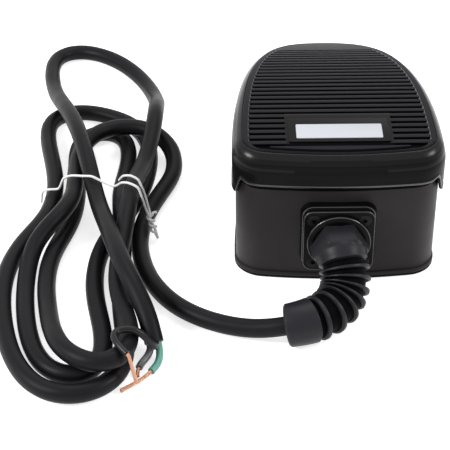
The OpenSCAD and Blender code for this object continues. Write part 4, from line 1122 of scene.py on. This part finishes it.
# %% The sleeve
BORE, MOUTH_FLARE, STRAIGHT = 5.6, 2.3, 0.15
params = [SLEEVE_END * i / SLEEVE_STEPS for i in range(SLEEVE_STEPS + 1)]
middle_line = [Vector((0, CORD_Y0 - EXIT_STEP * t, GLAND_Z)) if t < STRAIGHT else along(route, t)
               for t in params]

def on_nut_and_floor(i, v):
    """Keeps the head's back flat on the nut and the whole sleeve over the floor."""
    v.y, v.z = min(v.y, CORD_Y0 - 0.01 * i), max(v.z, 0.2)
    return v

def bore_radius(i, a):
    return BORE if i < 10 else BORE + MOUTH_FLARE * (i / (SLEEVE_STEPS / 6)) ** 2

relief = Build()
outer = sweep(middle_line, lambda i, a: outer_radius(params[i], a), SLEEVE_SIDES, on_nut_and_floor)
bore = sweep(middle_line[::6], bore_radius, SLEEVE_SIDES)
relief.rings(outer + list(reversed(bore)), closed=True)
# Valley faces are marked for the painted shade finish.
for i, t in enumerate(params[:-1]):
    if t > 1.3 and sleeve_radius(t) < crest_radius(t) - 1.1:
        relief.marked.update(range(i * SLEEVE_SIDES, (i + 1) * SLEEVE_SIDES))
print("sleeve length", round(sum((b - a).length for a, b in zip(middle_line, middle_line[1:])), 1),
      "valley faces", len(relief.marked))

# %% Rubber of the sleeve, with painted shade in its valleys
coat("relief", "relief_rubber", (0.014, 0.0135, 0.0175), 0.42, 1200, 0.1, specular=0.2)
relief_skin = skin(relief, "relief_skin", "relief", sharp=60)
relief_skin.data.materials.append(M["groove"])
dress(relief_skin, "base", ["bend_relief"])

# %% [markdown]
# ## Bare end of the lead
# At its far end the jacket is cut back and three insulated cores come out, ready to be
# connected: green, grey and black. Each keeps the bend that a hand gave it. A swept mesh
# would work as well, but a curve object is easier to bend into place. They are drawn as the
# lead is, with a spline along a few chosen points, and as only the route and the colour
# differ, one loop makes all three.

# %% Cores
CORE_R = 1.72
coat("green", "core_green", (0.16, 0.47, 0.38), 0.34, 900, 0.04)
coat("grey", "core_grey", (0.16, 0.16, 0.175), 0.34, 900, 0.04)
coat("black", "core_black", (0.008, 0.008, 0.0095), 0.34, 900, 0.04, specular=0.25)
cores = {
    "green": [(-85.38, -128.76, 6.08), (-84.88, -130.12, 5.01), (-84.3, -134, 3), (-85, -139, 2),
              (-88, -144, 2)],
    "grey": [(-89.05, -130.1, 6.08), (-88.55, -131.46, 5.01), (-89.6, -134.6, 3.2), (-92.4, -138, 2.2),
             (-93.6, -141.5, 2)],
    "black": [(-86.53, -131.29, 8.78), (-86.03, -132.65, 7.71), (-86.4, -136.2, 9.5), (-89, -137.5, 15),
              (-93.5, -137, 20.2), (-99, -137, 21.6), (-104.5, -139, 21), (-103, -146, 21.2),
              (-97.5, -152, 19.4)],
}
for key, points in cores.items():
    core = round_cord("core_skin_" + key, smooth_line(points, 8), CORE_R, key, 4)
    dress(core, "base", ["core_" + key])

# %% [markdown]
# ## Copper strands
# A flexible core isn't one wire but a bunch of fine ones with a light twist, and where it is
# stripped the tips spread a little. One thick rod would look like a nail. Each strand is a
# thin tube that winds round the bunch's middle line, twelve round one, and frays towards
# the tip by a random amount. The random numbers have a fixed seed, so the bunch is the same
# on every run.

# %% A bunch of twisted strands
STRANDS, STRAND_R, TWIST, SEED = 12, 0.2, 0.16, 7
FRAY, FRAY_POWER, LOWEST = 0.5, 4, 0.25
chance = random.Random(SEED)

def tube(build, line, radius, sides):
    """A round rod along a line, closed at both ends."""
    build.rings(sweep(line, lambda i, a: radius, sides), cap_first=True, cap_last=True)

def strand(middle, start, radius):
    """One strand round the middle line, starting at an angle; the end frays."""
    points = []
    for i, p in enumerate(middle):
        t = (middle[min(i + 1, len(middle) - 1)] - middle[max(i - 1, 0)]).normalized()
        s = t.orthogonal().normalized()
        fray = 1 + FRAY * (i / len(middle)) ** FRAY_POWER * chance.random()
        a = start + i * TWIST
        point = p + radius * fray * (math.cos(a) * s + math.sin(a) * t.cross(s))
        point.z = max(point.z, LOWEST)
        points.append(point)
    return points

# %% Copper
coat("copper", "copper_wire", (0.60, 0.33, 0.22), 0.36, 1500, 0.06, metallic=0.85)
bunches = (
    ([(-88.1, -144.2, 2), (-89.8, -147, 2.2), (-93, -150, 1.6), (-97, -153, 1.4), (-101, -156, 1.2)], 0.9),
    ([(-93.7, -141.7, 2), (-94.2, -144, 1.4), (-94, -146.4, 1.1)], 0.85),
    ([(-97.39, -152.12, 19.36), (-96.6, -152.9, 18.9), (-95.8, -153.6, 14), (-94.6, -154, 8),
      (-94, -153.8, 4)], 0.85),
)
copper = Build()
for points, bunch_r in bunches:
    middle = smooth_line(points, 10)
    for w in range(STRANDS + 1):
        radius = 0 if w == STRANDS else bunch_r * (0.72 + 0.1 * chance.random())
        tube(copper, strand(middle, 2 * math.pi * w / STRANDS, radius), STRAND_R, 6)
copper_skin = skin(copper, "copper_skin", "copper", sharp=80)
dress(copper_skin, "base", ["core_strands"])

# %% [markdown]
# ## Tie
# A white twist tie holds the hank together. It lies tight over the tops of the turns, and
# its two ends are wound round each other at the right. The lead's spline only comes near
# its points, and a tie drawn with it would cut the corners and sink into the cord. So this
# curve goes through every point, with short tangents that keep it tight between them.

# %% A curve through every point
TIGHTNESS, TIE_STEPS = 0.35, 6

def through(points):
    """Curve through every point, for a strand that is pulled tight over its corners."""
    p, line = [Vector(q) for q in points], []
    for i in range(len(p) - 1):
        a = p[i - 1] if i else 2 * p[0] - p[1]
        d = p[i + 2] if i + 2 < len(p) else 2 * p[-1] - p[-2]
        m0, m1 = (p[i + 1] - a) * TIGHTNESS, (d - p[i]) * TIGHTNESS
        for u in (k / TIE_STEPS for k in range(TIE_STEPS)):
            line.append((2 * u ** 3 - 3 * u * u + 1) * p[i] + (u ** 3 - 2 * u * u + u) * m0
                        + (-2 * u ** 3 + 3 * u * u) * p[i + 1] + (u ** 3 - u * u) * m1)
    return line + [p[-1]]

# %% Tie over the hank, its second strand, the knot and two tails
TIE_R = 0.66
coat("tie", "tie_plastic", (0.90, 0.90, 0.90), 0.5, 1500, 0.06)
over_hank = through([
    (-152.5, -7, 1), (-151, -7.5, 8.5), (-147, -9, 10.8), (-142, -10, 12), (-138.5, -11.5, 19.5),
    (-134, -13, 22), (-128, -15, 23), (-123, -18, 24.6), (-117, -20.5, 22.8), (-111, -24, 22.5),
    (-107, -27, 26.5), (-103, -30, 28.2), (-98, -33, 26.8), (-95, -35.5, 17), (-92.5, -37.5, 11),
    (-90.2, -39.5, 6), (-89, -40.2, 1)])
second = through([
    (-109, -18.5, 22.5), (-106.5, -20.5, 26.4), (-102.5, -22.5, 27.7), (-98.5, -24.5, 26.4),
    (-95.6, -27.5, 20), (-93.6, -31.5, 14), (-92.3, -35, 11)])
KNOT_AT, KNOT_R, KNOT_STEPS = (-93, -36, 12.6), (1.6, 1.3), 34
knot = [(KNOT_AT[0] + KNOT_R[0] * math.cos(a * 1.1) + 0.16 * a,
         KNOT_AT[1] - 0.3 * a + KNOT_R[1] * math.sin(a * 1.1),
         KNOT_AT[2] - 0.42 * a) for a in (i * 0.5 for i in range(KNOT_STEPS))]
tails = ([(-92.6, -36, 11.5), (-91, -33.8, 12.6), (-89.6, -32.6, 12)],
         [(-91.5, -38, 8.5), (-90, -40.5, 6), (-89.9, -40.2, 3)])
tie = round_cord("tie_skin", over_hank, TIE_R, "tie", 3)
for points in (second, knot, *tails):
    add_strand(tie.data, points)
dress(tie, "base", ["cord_tie"])
print("tie over the hank", round(sum((b - a).length for a, b in zip(over_hank, over_hank[1:])), 1))

# %% [markdown]
# ## Where the lead leaves
# The lead leaves the object through the hole in the gland nut.

# %% [markdown]
# ## Inner pieces
# Bracket, pin, screws, switch and wires sit inside and already have their real shape in the
# CAD part. Modelling them again would only risk a difference, so they keep their meshes and
# just take a finish: zinc for what is turned or bent from steel, plain plastic for the
# switch, brass for its terminals. A table of finishes and node names says it all at once.

# %% Finishes of the inner pieces
coat("zinc", "zinc_steel", (0.48, 0.49, 0.5), 0.34, 1500, 0.06, metallic=1.0)
coat("brown", "switch_plastic", (0.045, 0.03, 0.024), 0.5, 1300, 0.1)
coat("red", "button_plastic", (0.4, 0.03, 0.02), 0.3, 1300, 0.03)
coat("white", "roller_plastic", (0.7, 0.68, 0.6), 0.35, 1300, 0.03)
coat("brass", "terminal_brass", (0.55, 0.38, 0.14), 0.3, 1500, 0.05, metallic=1.0)
coat("earth", "earth_paint", (0.08, 0.3, 0.12), 0.35, 1500, 0.05)

# %% Inner pieces
inner = {
    "zinc": ["pedal_bracket", "bracket_studs", "hinge_pin", "adjusting_screw", "adjusting_nut",
             "switch_lever", "lever_pivot", "roller_pin", "terminal_screws", "switch_bracket",
             "switch_screws", "bracket_screws", "bottom_screws", "gland_locknut", "spring_posts"],
    "dark": ["pin_clips", "gland_body"],
    "sheet": ["stop_bumpers", "gland_seal"],
    "brown": ["switch_case", "switch_cover"],
    "red": ["switch_button"],
    "white": ["lever_roller"],
    "brass": ["switch_terminals"],
    "earth": ["earth_screw"],
    "cord": ["inner_lead"],
    "green": ["inner_wires"],
}
for key, names in inner.items():
    for name in names:
        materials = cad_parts[name].data.materials
        materials.clear()
        materials.append(M[key])
print("inner pieces", sum(len(names) for names in inner.values()))

# %% [markdown]
# ## Return springs
# Two compression springs push the pedal up. On the real object their feet stay on the posts
# and their tops go down with the bracket. A Screw modifier could wind the wire; here a helix
# is swept into a tube. The coil is rigid and would run through the bracket when the pedal is
# pressed. It takes its place from the box of its CAD node.

# %% Helix of a spring
WIRE_D, TURNS, STEPS_A_TURN = 1.8, 8, 20
coat("spring", "spring_wire", (0.6, 0.61, 0.62), 0.25, 1500, 0.04, metallic=1.0)

def helix(x, y, foot, head, radius):
    """Points of a coil that rises evenly from foot to head."""
    points, count = [], TURNS * STEPS_A_TURN
    for i in range(count + 1):
        a = 2 * math.pi * i / STEPS_A_TURN
        points.append(Vector((x + radius * math.cos(a), y + radius * math.sin(a),
                              foot + (head - foot) * i / count)))
    return points

# %% Return springs
for side in ("left", "right"):
    low, high = (Vector(v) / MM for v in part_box("spring_" + side))
    x, y = (low.x + high.x) / 2, (low.y + high.y) / 2
    radius = (high.x - low.x - WIRE_D) / 2
    coil = Build()
    tube(coil, helix(x, y, low.z + WIRE_D / 2, high.z - WIRE_D / 2, radius), WIRE_D / 2, 12)
    spring = skin(coil, "spring_skin_" + side, "spring")
    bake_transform(spring)
    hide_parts("spring_" + side)
    print(spring.name, "coil radius", round(radius, 2), "height", round(high.z - low.z, 2))

# %% [markdown]
# ## Soft light
# A dark glossy object is seen by what it mirrors. Small hard lamps would leave sharp dots on
# the paint. Three area lamps give soft light instead: a wide one above and behind, which
# draws the crown and the tops of the ribs, and a smaller one on each side, which puts a soft
# highlight on the near corners of the cover. Their powers are set so that a colour renders
# about as it is written.

# %% Lamps
def soft_lamp(name, place, aim, size, power):
    """A rectangular lamp at a place in metres, turned towards its aim."""
    lamp = bpy.data.lights.new(name, "AREA")
    lamp.shape = "RECTANGLE"
    lamp.size, lamp.size_y = size
    lamp.energy = power
    ob = bpy.data.objects.new(name, lamp)
    scene.collection.objects.link(ob)
    ob.location = place
    ob.rotation_euler = (Vector(aim) - Vector(place)).to_track_quat("-Z", "Y").to_euler()
    print(name, "power", power)

soft_lamp("top_soft", (0.1, 0.45, 1.2), (0, 0, 0), (0.9, 0.7), 4.6)
soft_lamp("left_soft", (-0.95, -0.4, 0.75), (0, -0.04, 0.05), (0.36, 0.36), 9.5)
soft_lamp("right_soft", (1.0, -0.3, 0.75), (0, -0.04, 0.05), (0.36, 0.36), 5.2)

# %% [markdown]
# ## Floor and world
# The switch stands on a plain white floor. Turning the lamps up until the floor is white
# would wash the object out. So floor and world know which ray asks. To the camera, and to
# rays that see them in a gloss or through glass, they are white. To the soft light that
# falls on the object they are dimmer, and the floor keeps its shadow.

# %% A switch by the kind of ray
SEEN = ("Is Camera Ray", "Is Glossy Ray", "Is Transmission Ray")

def when_seen(nt):
    """1 for the kinds of ray in SEEN and 0 for the others."""
    path = nt.nodes.new("ShaderNodeLightPath")
    total = path.outputs[SEEN[0]]
    for kind in SEEN[1:]:
        either = nt.nodes.new("ShaderNodeMath")
        either.operation = "MAXIMUM"
        nt.links.new(total, either.inputs[0])
        nt.links.new(path.outputs[kind], either.inputs[1])
        total = either.outputs[0]
    return total

# %% Floor
FLOOR_HALF, FLOOR_Z, FLOOR_GREY, FLOOR_GLOW = 6, -0.0002, 0.9, 0.7
corners = [(-FLOOR_HALF, -FLOOR_HALF, 0), (FLOOR_HALF, -FLOOR_HALF, 0),
           (FLOOR_HALF, FLOOR_HALF, 0), (-FLOOR_HALF, FLOOR_HALF, 0)]
floor_mesh = bpy.data.meshes.new("floor")
floor_mesh.from_pydata(corners, [], [(0, 1, 2, 3)])
floor = bpy.data.objects.new("floor", floor_mesh)
scene.collection.objects.link(floor)
floor.location.z = FLOOR_Z
white = bpy.data.materials.new("floor_white")
white.use_nodes = True
nt = white.node_tree
shader = nt.nodes["Principled BSDF"]
for title, value in (("Base Color", (FLOOR_GREY, FLOOR_GREY, FLOOR_GREY, 1)), ("Roughness", 0.95),
                     ("Specular IOR Level", 0.0), ("Emission Color", (1, 1, 1, 1))):
    shader.inputs[title].default_value = value
glow = nt.nodes.new("ShaderNodeMath")
glow.operation = "MULTIPLY"
glow.inputs[1].default_value = FLOOR_GLOW
nt.links.new(when_seen(nt), glow.inputs[0])
nt.links.new(glow.outputs[0], shader.inputs["Emission Strength"])
floor.data.materials.append(white)

# %% World
WORLD_LIGHT, WORLD_SEEN = 0.4, 1.0
world = bpy.data.worlds.new("studio")
scene.world = world
world.use_nodes = True
nt = world.node_tree
sky = nt.nodes["Background"]
sky.inputs["Color"].default_value = (1, 1, 1, 1)
level = nt.nodes.new("ShaderNodeMapRange")
level.inputs["To Min"].default_value = WORLD_LIGHT
level.inputs["To Max"].default_value = WORLD_SEEN
nt.links.new(when_seen(nt), level.inputs["Value"])
nt.links.new(level.outputs["Result"], sky.inputs["Strength"])
print("world light", WORLD_LIGHT, "seen as", WORLD_SEEN)
